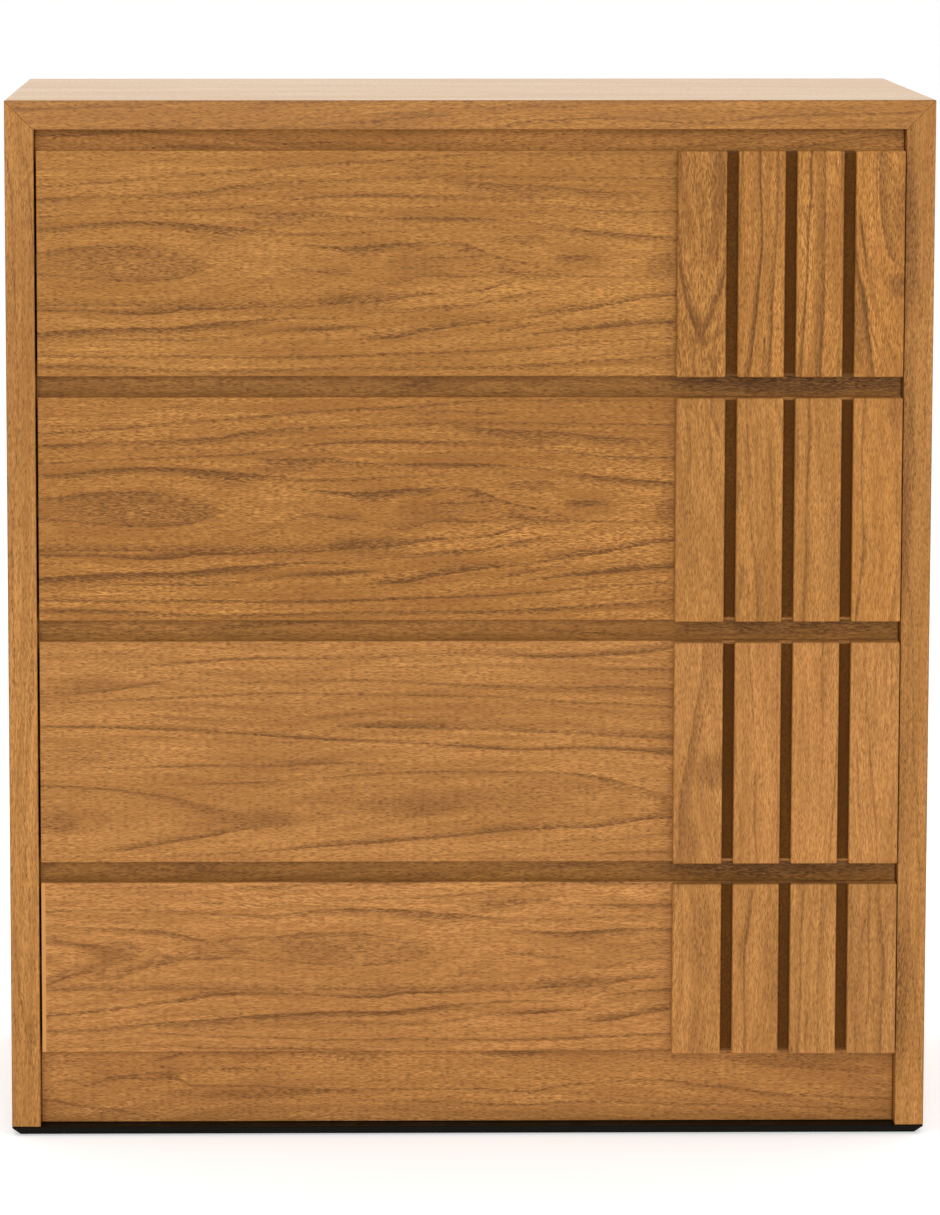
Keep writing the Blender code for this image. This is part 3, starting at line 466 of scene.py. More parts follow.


# The rails' lines and patches, drawn as the leaves' are; the dark patches under the slats at the right end,
# and some lines of the plinth rail, are painted shade

RAIL_REACH = (0.0, 0.750)
RAIL_LEVELS = {"top_rail": 0.883, "divider_rail_1": 0.670, "divider_rail_2": 0.457, "divider_rail_3": 0.244,
               "plinth_rail": 0.0766}
RAIL_LINES_AND_SHADE = {
    # distance from the fronts' left ends, then down from the level where each rail comes into sight
    "top_rail": (
        (-1, ((0, 6.5, .4, 4), (40, 6, .45, 4), (62, 4, .5, 3), (90, 3, .5, 2), (120, 4.5, .3, 2),
              (140, 6, 0, 2))),
        (1, ((150, 7, 0, 2), (170, 9.5, .4, 2), (195, 11.5, .35, 2), (215, 13, .4, 1), (240, 12, .45, 1),
             (265, 12, .35, 1), (275, 13.5, .2, 1), (290, 15, 0, 1))),
        (1, ((590, 18.5, 0, 2), (620, 18, .3, 2), (650, 16.5, .4, 2), (670, 14.5, .35, 2), (690, 11.5, .3, 2),
             (705, 9, .35, 2), (722, 7, .3, 2), (746, 5, .2, 2)))),
    "divider_rail_1": (
        (-1, ((305, 16, 0, 6), (318, 12, .4, 8), (330, 8, .5, 9), (343, 4, .45, 8), (352, 1, 0, 6))),
        (1, ((40, 9, 0, 2), (100, 9.5, .2, 3), (200, 8.5, .2, 3), (300, 6, 0, 2)))),
    "divider_rail_2": (
        (-1, ((60, 13, .1, 3), (110, 12, .3, 4), (150, 10.5, .4, 3), (190, 7.5, .5, 3), (220, 5, .45, 3),
              (250, 3, .4, 2), (280, 1.5, .3, 2), (300, .5, 0, 2))),
        (1, ((420, 9.5, 0, 2), (440, 10.5, .35, 2), (460, 12, .45, 2), (490, 14, .4, 2), (530, 15.5, .2, 2))),
        (1, ((600, 11, 0, 1), (640, 11, .3, 1), (690, 11.5, .3, 1), (746, 12, .2, 1)))),
    "divider_rail_3": (
        (1, ((60, 9, 0, 2), (110, 10, .35, 3), (150, 12, .35, 3), (200, 13, .2, 2), (260, 13, 0, 2))),
        (-1, ((380, 12, 0, 3), (430, 9, .3, 4), (470, 6.5, .4, 4), (510, 7, .2, 3), (540, 8, 0, 3)))),
    "plinth_rail": (
        (1, ((0, 48, .5, 2), (12, 49, .5, 2), (24, 52, .55, 2), (34, 53.5, .55, 2), (50, 56, .45, 3),
             (64, 57, .45, 3), (78, 60, .4, 2), (90, 62, .3, 2), (105, 65, 0, 2))),
        (1, ((14, 31.5, 0, 1), (24, 30.5, .45, 1), (36, 35, .5, 1), (46, 33, .55, 1), (60, 28, .6, 2),
             (75, 27, .65, 2), (90, 25, .5, 2), (100, 24, .55, 2), (110, 26, .45, 2), (120, 29, 0, 2))),
        (1, ((35, 34, 0, 1), (52, 31, .4, 1), (70, 28.5, .5, 2), (96, 29, .6, 2), (110, 28, .6, 3),
             (118, 29, .65, 3), (126, 33, .6, 2), (131, 36, .65, 1), (140, 35.5, .6, 1), (150, 36.5, .5, 1),
             (170, 36, .5, 2), (190, 36, .55, 2), (210, 38, .5, 3), (228, 40, .55, 3), (250, 40, .6, 3),
             (290, 39.5, .4, 2), (320, 39, .4, 2), (350, 39.5, .4, 2), (380, 39, .4, 2), (410, 41, .5, 2),
             (430, 41, .5, 2), (445, 39, .4, 2), (460, 36, .5, 2), (490, 34, .4, 2), (540, 31.5, .45, 2),
             (560, 33.5, .45, 3), (580, 37, .5, 2), (600, 38, .45, 2), (640, 44, .45, 3), (680, 46, .5, 2),
             (720, 48, .5, 2), (746, 48.5, .45, 2))),
        # partly painted shade: this line along the plinth rail's top stands mostly for the shade under drawer
        # 4's front
        (1, ((96, 14, 0, 2), (102, 12, .5, 2), (110, 9.5, .5, 3), (118, 7.5, .5, 3), (126, 3.5, .6, 4),
             (150, 3.5, .6, 5), (190, 4, .5, 5), (230, 4.5, .4, 5), (280, 5, 0, 4))),
        (1, ((94, 15, 0, 2), (100, 17, .5, 3), (106, 18.5, .4, 3), (118, 20, .3, 2), (132, 21.5, .35, 2),
             (155, 21, .35, 3), (185, 20.5, .35, 3), (200, 21, 0, 3))),
        (1, ((245, 50, 0, 2), (300, 49.5, .3, 2), (340, 50.5, .4, 2), (365, 51, .35, 2), (400, 53.5, .45, 2),
             (420, 53.5, .45, 2), (440, 52.5, .35, 2), (465, 51, .4, 2), (510, 51, .35, 2),
             (530, 52.5, .35, 2), (590, 53.5, .35, 2), (620, 55, .25, 2), (700, 57, .3, 2),
             (746, 60, .2, 2))),
        # painted shade: this soft line at the right end is darker under drawer 4's slats and stands for their
        # shadow
        (-1, ((590, 12, 0, 6), (620, 17, .35, 8), (650, 20, .4, 9), (680, 22, .4, 9), (700, 23.5, .4, 8),
              (725, 26, .25, 6), (746, 28, .15, 5)))),
}
RAIL_PATCHES_AND_SHADE = {
    "top_rail": ((128, 16, 40, 2.5, .40), (60, 2, 60, 2.5, .30)),
    # painted shade: the patches at 648 and 740 mm lie under the proud slats and stand for their shadow
    "divider_rail_1": ((330, 9, 20, 9, .30), (300, 15, 24, 4, .25), (648, 7, 124, 13, .74),
                       (740, 8, 42, 12, .38)),
    "divider_rail_2": ((180, 14, 50, 3, .30), (563, 10, 3, 5, .55), (575, 11, 2.5, 3, .40),
                       # painted shade: the patch at 660 mm lies under the proud slats and stands for their
                       # shadow
                       (660, 8, 106, 11, .52), (30, 10, 44, 8, .20)),
    "divider_rail_3": ((135, 7, 26, 7, .40), (340, 15, 14, 2.5, .35), (465, 7, 24, 4, .45),
                       # painted shade: the patch at 636 mm lies under the proud slats and stands for their
                       # shadow
                       (440, 12, 20, 4, .20), (636, 9, 124, 13, .72)),
    "plinth_rail": ((108, 26, 14, 4, .42), (185, 44, 66, 5.5, .42), (225, 41, 40, 5, .38),
                    # painted shade: the patch at 665 mm lies under drawer 4's slats and stands for their
                    # shadow
                    (418, 7, 38, 5, .50), (270, 10, 40, 6, .28), (665, 14, 64, 9, .34), (122, 43, 20, 4, .30),
                    (268, 41, 22, 4, .32)),
}

# The front edges' lines and patches, drawn as the leaves' are; the right side panel's patches are painted
# shade of the slats beside it

EDGE_REACH = (0.0, 0.900)
EDGE_LINES = {
    # distance up from the panel's foot, or from the top panel's left end, then in from the panel's left face,
    # or up from the top panel's underside
    "top_panel": (
        (1, ((13, 17, .4, 2), (47, 18, .35, 2), (87, 19, .4, 2), (112, 19, .45, 2), (132, 21, .5, 2),
             (142, 23, .4, 2), (157, 24, .2, 2))),
        (1, ((110, 3, 0, 1), (147, 6, .25, 2), (167, 10, .2, 1), (180, 14, 0, 1))),
        (1, ((200, 22, 0, 1), (217, 22, .35, 1), (237, 23, .4, 1), (270, 23, .3, 1), (290, 23, 0, 1))),
        (1, ((270, 5, 0, 2), (287, 5, .4, 2), (317, 6, .5, 3), (337, 8, .5, 5), (357, 10, .5, 5),
             (372, 11, .45, 4), (384, 12, 0, 2))),
        (1, ((375, 22, 0, 1), (387, 21, .4, 1), (400, 19.5, .4, 1), (427, 18, .35, 1), (457, 19, .45, 1),
             (485, 19, .35, 1), (495, 19, 0, 1))),
        (-1, ((420, 2, .1, 2), (430, 3.5, .5, 3), (442, 6, .55, 4), (457, 7.5, .55, 4), (477, 8, .5, 4),
              (497, 9.5, .5, 2), (517, 10, .5, 2), (532, 10, .4, 1), (547, 9, .4, 2), (567, 7, .35, 2),
              (587, 6, .35, 2), (617, 7, .4, 2), (637, 9.5, .45, 2), (667, 12, .4, 1), (707, 13, .5, 1),
              (727, 14, .5, 1), (747, 13, .45, 1), (772, 14, .45, 1), (790, 16, .3, 1)))),
    "left_side_panel": (
        (1, ((30, 19.5, .2, 2), (60, 17, .4, 2), (80, 13, .45, 3), (100, 10, .4, 3), (120, 7, .45, 2),
             (140, 6, .4, 2), (160, 4, .35, 2), (185, 2.5, .3, 2), (200, 2, 0, 2))),
        (1, ((175, 16.5, 0, 1), (190, 16, .4, 1), (205, 16, .45, 1), (225, 14, .45, 1), (245, 13, .4, 1),
             (262, 13, .35, 1), (285, 13.5, 0, 1))),
        (1, ((300, 15.5, 0, 2), (330, 14.5, .3, 2), (345, 17, .35, 2), (360, 18, .4, 1), (380, 19, .35, 1),
             (400, 21, .4, 1), (425, 20, .45, 1), (440, 20.5, .45, 1), (465, 19, 0, 1))),
        (1, ((365, 2, 0, 1), (385, 3.5, .4, 1), (410, 5, .5, 1), (440, 4.5, .4, 1), (500, 4, .45, 1),
             (530, 4.5, .45, 1), (550, 6, .5, 1), (575, 7, .45, 2), (600, 8.5, .45, 2), (640, 9.5, .45, 2),
             (660, 9.8, .5, 2), (690, 9, .4, 2), (720, 8, .4, 2), (760, 7, .4, 2), (800, 6, .45, 2),
             (820, 5, .5, 2), (838, 3, .5, 2), (855, 1, .2, 1))),
        (1, ((740, 25, .2, 1), (780, 23.3, .4, 1), (800, 22.5, .45, 1), (820, 20.5, .4, 2), (850, 18, .3, 2),
             (868, 16, 0, 2))),
        (1, ((40, 5, 0, 1), (65, 4, .3, 1), (95, 3, .3, 1), (115, 1.5, 0, 1)))),
    "right_side_panel": (
        (1, ((0, 10, .3, 1), (22, 10, .35, 1), (38, 9.5, .35, 1), (48, 11.5, .5, 1), (58, 12.6, .5, 1),
             (72, 13, 0, 1))),
        (-1, ((30, 20.5, 0, 2), (60, 21, .35, 3), (80, 21, .4, 3), (100, 19.5, .45, 4), (115, 17, .45, 5),
              (130, 14.5, .45, 5), (150, 13.5, .5, 5), (165, 12, .5, 5), (180, 10.5, .4, 4),
              (205, 7.5, .2, 3))),
        (-1, ((205, 21, 0, 1), (225, 19.5, .4, 1), (245, 17.5, .45, 2), (265, 17, .4, 2), (300, 16, .4, 2),
              (320, 14, .45, 2), (340, 12, .5, 2), (370, 12, .5, 1), (400, 12.5, .3, 1), (430, 11, .4, 2),
              (460, 9, .5, 2), (480, 6.8, .55, 3), (500, 5.8, .5, 3), (520, 6.8, .45, 2), (550, 8.5, .5, 2),
              (570, 10.3, .6, 3), (585, 11, .6, 3), (600, 9.8, .6, 4), (615, 8.5, .6, 4), (640, 6, .3, 4),
              (660, 4, 0, 3))),
        (1, ((595, 19.5, 0, 1), (620, 18.5, .35, 1), (650, 18.2, .4, 1), (690, 19.5, .35, 1),
             (718, 20, 0, 1))),
        (-1, ((705, 13, 0, 2), (722, 14.5, .5, 3), (740, 12.7, .55, 4), (760, 9.8, .55, 3), (780, 8.5, .5, 3),
              (800, 6.3, .45, 2), (830, 5, .5, 2), (860, 4.5, .5, 2), (880, 4, .2, 1)))),
}
EDGE_PATCHES_AND_SHADE = {
    "top_panel": ((352, 12.5, 28, 3.5, .32),),
    "left_side_panel": ((85, 18, 20, 6, .28),),
    # painted shade: these patches lie along the edge beside the proud slats and stand for their shadow
    "right_side_panel": ((112, 2, 84, 13, .60), (310, 1, 90, 7, .30), (540, 2, 76, 9, .52),
                         (640, 3, 60, 8, .42), (780, 2, 90, 12, .62)),
}


# Nodes

def add_node(tree, kind, sockets=None, **settings):
    """Adds a node, sets its settings, and fills its sockets with values or with links from other nodes."""
    new = tree.nodes.new(kind)
    for name, value in settings.items():
        setattr(new, name, value)
    for name, value in (sockets or {}).items():
        if isinstance(value, bpy.types.NodeSocket):
            tree.links.new(value, new.inputs[name])
        else:
            new.inputs[name].default_value = value
    return new


def maths(tree, operation, *values, clamp=False):
    """Adds a sum and returns its result."""
    sockets = dict(enumerate(values))
    return add_node(tree, "ShaderNodeMath", sockets, operation=operation, use_clamp=clamp).outputs[0]


def times(tree, first, second):
    """Multiplies two values."""
    return maths(tree, "MULTIPLY", first, second)


def place_maths(tree, operation, first, second):
    """Adds a sum of two places, worked out along each axis, and returns its result."""
    return add_node(tree, "ShaderNodeVectorMath", {0: first, 1: second}, operation=operation).outputs[0]


def stretched(tree, place, scales):
    """Scales a place along each axis, which stretches the pattern that reads it."""
    return place_maths(tree, "MULTIPLY", place, scales)


def parts_of(tree, place):
    """Takes a place apart into its three distances."""
    return add_node(tree, "ShaderNodeSeparateXYZ", {0: place}).outputs


def put_together(tree, *distances):
    """Makes a place of its distances."""
    return add_node(tree, "ShaderNodeCombineXYZ", dict(enumerate(distances))).outputs[0]


def channels_of(tree, colour):
    """Takes a colour apart into its three channels."""
    return add_node(tree, "ShaderNodeSeparateColor", {0: colour}).outputs


def smooth_step(tree, value, start, end, low=0.0, high=1.0):
    """Rises smoothly from low to high while the value goes from start to end."""
    sockets = {"Value": value, 1: start, 2: end, 3: low, 4: high}
    return add_node(tree, "ShaderNodeMapRange", sockets, interpolation_type="SMOOTHSTEP").outputs[0]


def spread(tree, value, low, high):
    """Spreads a value of 0 to 1 over another range."""
    return add_node(tree, "ShaderNodeMapRange", {"Value": value, 3: low, 4: high}).outputs[0]


def either(tree, mask, off, on):
    """Gives one value where a mask is 0, and another where it is 1."""
    return add_node(tree, "ShaderNodeMix", {0: mask, 2: off, 3: on}).outputs[0]


def either_place(tree, mask, off, on):
    """Gives one place where a mask is 0, and another where it is 1."""
    return add_node(tree, "ShaderNodeMix", {0: mask, 4: off, 5: on}, data_type="VECTOR").outputs[1]


def mix_colours(tree, amount, first, second, blend="MIX"):
    """Mixes two colours by an amount of 0 to 1."""
    first = first if isinstance(first, bpy.types.NodeSocket) else (*first, 1.0)
    second = second if isinstance(second, bpy.types.NodeSocket) else (*second, 1.0)
    sockets = {0: amount, 6: first, 7: second}
    return add_node(tree, "ShaderNodeMix", sockets, data_type="RGBA", blend_type=blend).outputs[2]


def toned(tree, colour, other, mask, share=None):
    """Moves a colour towards another where a mask is strong, by the mask or by a share of it."""
    amount = mask if share is None else times(tree, mask, share)
    return mix_colours(tree, amount, colour, other)


def noise(tree, place, scale=1.0, detail=2.0, roughness=0.5, gives=0):
    """Adds soft noise and returns its value, or its colour, whose channels are three separate values."""
    sockets = {"Vector": place, "Scale": scale, "Detail": detail, "Roughness": roughness}
    return add_node(tree, "ShaderNodeTexNoise", sockets).outputs[gives]


def cells(tree, place, scale=1.0, randomness=1.0):
    """Adds a pattern of cells and returns its outputs."""
    sockets = {"Vector": place, "Scale": scale, "Randomness": randomness}
    return add_node(tree, "ShaderNodeTexVoronoi", sockets).outputs


def new_group(name, takes, gives):
    """Starts a group and returns its tree, what it takes and what it gives. A value of None is a place."""
    tree = bpy.data.node_groups.new(name, "ShaderNodeTree")
    for socket, value in takes.items():
        kind = "NodeSocketVector" if value is None else "NodeSocketFloat"
        made = tree.interface.new_socket(name=socket, in_out="INPUT", socket_type=kind)
        if value is not None:
            made.default_value = value
    for socket in gives:
        tree.interface.new_socket(name=socket, in_out="OUTPUT", socket_type="NodeSocketFloat")
    return tree, tree.nodes.new("NodeGroupInput").outputs, tree.nodes.new("NodeGroupOutput").inputs


def use_group(tree, group, **sockets):
    """Places a group in a tree and returns its outputs. Socket names are given with _ for each space."""
    named = {name.replace("_", " "): value for name, value in sockets.items()}
    return add_node(tree, "ShaderNodeGroup", named, node_tree=group).outputs


# Effects that the woods share

def make_fibre_drift():
    """The wander of the fibres: slow waves, and the fine feathering that frays a ring where it lies flat."""
    takes = {"Grain Place": None, "Slow Drift": 0.002, "Fine Drift": 0.001}
    tree, taken, given = new_group("fibre drift", takes, ["Across", "Depth"])
    slow_place = stretched(tree, taken["Grain Place"], (4.5, 21.0, 21.0))
    fine_place = stretched(tree, taken["Grain Place"], (34.0, 420.0, 420.0))
    slow = channels_of(tree, noise(tree, slow_place, gives="Color"))
    fine = channels_of(tree, noise(tree, fine_place, detail=3.0, roughness=0.62, gives="Color"))
    for socket, part, fine_share in (("Across", 0, 0.22), ("Depth", 1, 1.5)):
        slow_move = times(tree, maths(tree, "SUBTRACT", slow[part], 0.5), taken["Slow Drift"])
        fine_reach = times(tree, taken["Fine Drift"], fine_share)
        fine_move = times(tree, maths(tree, "SUBTRACT", fine[part], 0.5), fine_reach)
        tree.links.new(maths(tree, "ADD", slow_move, fine_move), given[socket])
    return tree


def make_ring_lines():
    """Yearly rings cut by the leaf: dark lines, sharp outside and soft inside, that fade on their way."""
    takes = {"Along": 0.0, "Across": 0.0, "Depth": 0.03, "First Ring": 0.0, "Ring Rate": 80.0,
             "Ring Crowding": 0.0, "Seed": 0.0}
    tree, taken, given = new_group("ring lines", takes, ["Dark Line", "Radius"])
    across, depth = taken["Across"], taken["Depth"]
    square = maths(tree, "ADD", times(tree, across, across), times(tree, depth, depth))
    radius = maths(tree, "SQRT", square)
    steady = maths(tree, "MULTIPLY_ADD", radius, taken["Ring Rate"], taken["First Ring"])
    age = maths(tree, "MULTIPLY_ADD", square, taken["Ring Crowding"], steady)
    season = maths(tree, "FRACT", age)
    year = maths(tree, "ADD", maths(tree, "FLOOR", age), taken["Seed"])
    luck = add_node(tree, "ShaderNodeTexWhiteNoise", {"W": year}, noise_dimensions="1D")
    strength = spread(tree, maths(tree, "POWER", luck.outputs["Value"], 1.5), 0.16, 1.0)
    way = maths(tree, "MULTIPLY_ADD", taken["Along"], 8.0, times(tree, year, 7.3))
    sockets = {"W": way, "Scale": 1.0, "Detail": 1.0}
    fading = add_node(tree, "ShaderNodeTexNoise", sockets, noise_dimensions="1D")
    lasting = smooth_step(tree, fading.outputs[0], 0.32, 0.62, 0.30, 1.0)
    soft = times(tree, maths(tree, "POWER", season, 2.6), 0.50)
    thin = smooth_step(tree, season, 0.80, 0.93, 0.0, 0.50)
    ended = smooth_step(tree, season, 0.970, 1.0, 1.0, 0.0)
    shade = times(tree, maths(tree, "ADD", soft, thin), ended)
    tree.links.new(times(tree, times(tree, shade, strength), lasting), given["Dark Line"])
    tree.links.new(radius, given["Radius"])
    return tree


def make_flow_streaks():
    """Soft streaks that follow the rings, some long and some short."""
    tree, taken, given = new_group("flow streaks", {"Along": 0.0, "Radius": 0.0, "Seed": 0.0}, ["Streaks"])
    place = put_together(tree, taken["Along"], taken["Radius"])
    seeded = place_maths(tree, "ADD", place, taken["Seed"])
    streaks = noise(tree, stretched(tree, seeded, (7.0, 150.0, 1.0)), detail=5.0, roughness=0.72)
    tree.links.new(smooth_step(tree, streaks, 0.38, 0.66), given["Streaks"])
    return tree


def make_drawn_line():
    """One dark line drawn on a leaf: a thin core, and a softer band that fades to one side. A few on the
    plinth rail are painted shade.
    """
    takes = {"Below Edge": 0.0, "Height": 0.0, "Darkness": 0.0, "Fade": 0.0, "Side": 1.0}
    tree, taken, given = new_group("drawn line", takes, ["Dark Line"])
    height = times(tree, taken["Height"], LEAF_HEIGHT)
    fade = maths(tree, "MULTIPLY_ADD", taken["Fade"], WIDEST_FADE, NARROWEST_FADE)
    off = maths(tree, "SUBTRACT", taken["Below Edge"], height)
    core = smooth_step(tree, maths(tree, "ABSOLUTE", off), 0.0003, 0.0024, 0.25, 0.0)
    inward = times(tree, off, taken["Side"])
    started = smooth_step(tree, inward, -0.0012, 0.0004)
    fading = smooth_step(tree, maths(tree, "DIVIDE", inward, fade), 0.12, 1.0, 0.85, 0.0)
    shade = maths(tree, "ADD", core, times(tree, fading, started))
    tree.links.new(times(tree, shade, taken["Darkness"]), given["Dark Line"])
    return tree


def make_soft_patch():
    """A soft dark patch, long along the grain: most mark a leaf's figure, and a few on the rails and the
    right side panel are painted shade.
    """
    takes = {"Along": 0.0, "Below Edge": 0.0, "Middle Along": 0.0, "Middle Below": 0.0, "Half Length": 0.05,
             "Half Height": 0.01, "Darkness": 0.3}
    tree, taken, given = new_group("soft patch", takes, ["Dark Patch"])
    squares = []
    ways = (("Along", "Middle Along", "Half Length"), ("Below Edge", "Middle Below", "Half Height"))
    for way, middle, half in ways:
        off = maths(tree, "SUBTRACT", taken[way], taken[middle])
        squares.append(maths(tree, "POWER", maths(tree, "DIVIDE", off, taken[half]), 2.0))
    shade = smooth_step(tree, maths(tree, "ADD", *squares), 0.1, 1.1, 1.0, 0.0)
    tree.links.new(times(tree, shade, taken["Darkness"]), given["Dark Patch"])
    return tree


def wavering(tree, place, scale, amount):
    """A small sideways move that comes and goes over a board."""
    return times(tree, maths(tree, "SUBTRACT", noise(tree, place, scale=scale, detail=1.0), 0.5), amount)


def drawn_out(tree, place, bend, length, width):
    """Scales and bends a place, so that the marks of a pattern come out long and thin along the grain."""
    along, across, through = parts_of(tree, place)
    bent = maths(tree, "ADD", across, bend)
    shares = [maths(tree, "DIVIDE", *pair) for pair in ((along, length), (bent, width), (through, width))]
    return put_together(tree, *shares)


def make_open_pores():
    """Short dark dashes where the pores of the wood are cut open, lying along the grain."""
    takes = {"Grain Place": None, "Pore Length": 0.0060, "Pore Width": 0.0013, "Share": 0.5}
    tree, taken, given = new_group("open pores", takes, ["Pores"])
    bend = wavering(tree, taken["Grain Place"], 90.0, 0.0022)
    place = drawn_out(tree, taken["Grain Place"], bend, taken["Pore Length"], taken["Pore Width"])
    pores = cells(tree, place)
    dash = smooth_step(tree, pores["Distance"], 0.16, 0.46, 1.0, 0.0)
    chosen = maths(tree, "LESS_THAN", channels_of(tree, pores["Color"])[0], taken["Share"])
    tree.links.new(times(tree, dash, chosen), given["Pores"])
    return tree


def make_fine_fibres():
    """The finest streaks along the grain, which slant a little here and there."""
    takes = {"Grain Place": None, "Streak Length": 0.035, "Streak Width": 0.0011, "Slant": 0.0}
    tree, taken, given = new_group("fine fibres", takes, ["Fibres"])
    bend = wavering(tree, taken["Grain Place"], 70.0, taken["Slant"])
    place = drawn_out(tree, taken["Grain Place"], bend, taken["Streak Length"], taken["Streak Width"])
    streaks = noise(tree, place, detail=3.0, roughness=0.6)
    tree.links.new(smooth_step(tree, streaks, 0.38, 0.62), given["Fibres"])
    return tree


def make_slow_patches():
    """Broad lighter and darker patches of a board, and uneven sheen."""
    tree, taken, given = new_group("slow patches", {"Grain Place": None}, ["Patches"])
    broad = noise(tree, stretched(tree, taken["Grain Place"], (3.2, 17.0, 17.0)), detail=3.0, roughness=0.55)
    tree.links.new(smooth_step(tree, broad, 0.30, 0.70), given["Patches"])
    return tree


def make_worn_arrises():
    """The band along a board's edges, broken up as handling and sanding leave it."""
    takes = {"Place": None, "Low Corner": None, "High Corner": None, "Band": 0.001}
    tree, taken, given = new_group("worn arrises", takes, ["Arrises"])
    from_low = place_maths(tree, "SUBTRACT", taken["Place"], taken["Low Corner"])
    from_high = place_maths(tree, "SUBTRACT", taken["High Corner"], taken["Place"])
    near, middle, far = parts_of(tree, place_maths(tree, "MINIMUM", from_low, from_high))
    smaller = maths(tree, "MINIMUM", near, middle)
    larger = maths(tree, "MAXIMUM", near, middle)
    second_nearest = maths(tree, "MAXIMUM", smaller, maths(tree, "MINIMUM", larger, far))
    rough = noise(tree, taken["Place"], scale=160.0, detail=3.0)
    frayed = times(tree, spread(tree, rough, 0.3, 1.7), taken["Band"])
    depth = maths(tree, "DIVIDE", second_nearest, frayed)
    tree.links.new(smooth_step(tree, depth, 0.2, 1.0, 1.0, 0.0), given["Arrises"])
    return tree


def make_pressed_chips():
    """The sawn core of a board, pressed from wood chips."""
    tree, taken, given = new_group("pressed chips", {"Place": None, "Chip Size": 0.0022}, ["Tone", "Height"])
    rate = maths(tree, "DIVIDE", 1.0, taken["Chip Size"])
    warp = noise(tree, taken["Place"], scale=600.0, gives="Color")
    place = place_maths(tree, "ADD", taken["Place"], stretched(tree, warp, (0.0012, 0.0012, 0.0012)))
    chips = cells(tree, place, scale=rate)
    tree.links.new(channels_of(tree, chips["Color"])[1], given["Tone"])
    tree.links.new(maths(tree, "SUBTRACT", 1.0, chips["Distance"]), given["Height"])
    return tree


FIBRE_DRIFT = make_fibre_drift()
RING_LINES = make_ring_lines()
FLOW_STREAKS = make_flow_streaks()
DRAWN_LINE = make_drawn_line()
SOFT_PATCH = make_soft_patch()
OPEN_PORES = make_open_pores()
FINE_FIBRES = make_fine_fibres()
SLOW_PATCHES = make_slow_patches()
WORN_ARRISES = make_worn_arrises()
PRESSED_CHIPS = make_pressed_chips()

# What describes a board's veneer

# points of the heart and of the depth of the cut, then rings, drift, drawn lines and patches, and where the
# drawing starts and ends along the grain
Figure = namedtuple("Figure", "heart depth rings drift lines patches reach",
                    defaults=(LOOSE_DRIFT, (), (), (LEAF_LEFT, LEAF_RIGHT)))

# tone of the wood, strength of its marks, tint, fraying of the drawn lines, share and darkness of the pores,
# roughness, strength of the bumps, shine, and the painted sheen that pales a top
Look = namedtuple("Look", "tone contrast tint frayed pores pore_depth rough relief specular bleach",
                  defaults=(1.0, 1.0, (1.0, 1.0, 1.0), FRAYED_LINES, 0.55, 0.45, 0.38, 0.45, VENEER_SPECULAR,
                            None))

Marks = namedtuple("Marks", "dark streaks patches fibres short dashes arrises")


# Materials

def new_material(name):
    """Starts a material and returns it with its tree, its shader and the object's own coordinates."""
    material = bpy.data.materials.new(name)
    material.use_nodes = True
    tree = material.node_tree
    shader = next(n for n in tree.nodes if n.type == "BSDF_PRINCIPLED")
    place = tree.nodes.new("ShaderNodeTexCoord").outputs["Object"]
    return material, tree, shader, place


def set_surface(tree, shader, colour, rough, height, strength, distance):
    """Gives a shader its colour, its roughness, and bumps of a strength and a depth in metres."""
    bump = add_node(tree, "ShaderNodeBump", {"Height": height, "Strength": strength, "Distance": distance})
    tree.links.new(colour, shader.inputs["Base Color"])
    tree.links.new(rough, shader.inputs["Roughness"])
    tree.links.new(bump.outputs[0], shader.inputs["Normal"])


def in_words(name):
    """Writes a part's name as words."""
    return name.replace("_", " ")


def grain_place(tree, place, along, across, start=(0.0, 0.0, 0.0)):
    """Turns a place into distance along the grain, across it and into the leaf, from a starting point."""
    parts = parts_of(tree, place_maths(tree, "SUBTRACT", place, start))
    order = ["xyz".index(along), "xyz".index(across)]
    order.append(3 - sum(order))
    return put_together(tree, *(parts[axis] for axis in order))


def seeded_place(tree, grain, seed):
    """Moves a place by a seed, so that no two boards share their small marks."""
    return place_maths(tree, "ADD", grain, (seed * 1.7, seed * 0.9, seed * 1.3))


def banded_grain(tree, place, grain, along, low):
    """Turns the leaf round at a board's front edge, which has a narrow band cut along the edge."""
    thin = "x" if along == "z" else "z"
    band = grain_place(tree, place, along, thin, low)
    calm = stretched(tree, band, (BAND_CALM, 1.0, 1.0))
    at_front = maths(tree, "LESS_THAN", parts_of(tree, place)[1], low.y + BAND_SKIN)
    drawn = either_place(tree, at_front, grain, calm)
    felt = either_place(tree, at_front, grain, band)
    return drawn, felt, at_front, band


def drawn_curve(tree, distance, points):
    """Reads a curve drawn through points of distance and height, both in metres."""
    starts, heights = zip(*points)
    low, high = min(heights), max(max(heights), min(heights) + MILLIMETRE)
    first, last = starts[0], starts[-1]
    share = add_node(tree, "ShaderNodeMapRange", {"Value": distance, 1: first, 2: last}).outputs[0]
    curve = add_node(tree, "ShaderNodeFloatCurve", {"Value": share})
    places = [((start - first) / (last - first), (height - low) / (high - low)) for start, height in points]
    draw_through(curve.mapping.curves[0], places)
    curve.mapping.update()
    return spread(tree, curve.outputs[0], low, high)


def draw_through(curve, places):
    """Draws a smooth curve through its points."""
    while len(curve.points) < len(places):
        curve.points.new(0.5, 0.5)
    for mark, place in zip(curve.points, places):
        mark.location = place
        mark.handle_type = "AUTO_CLAMPED"


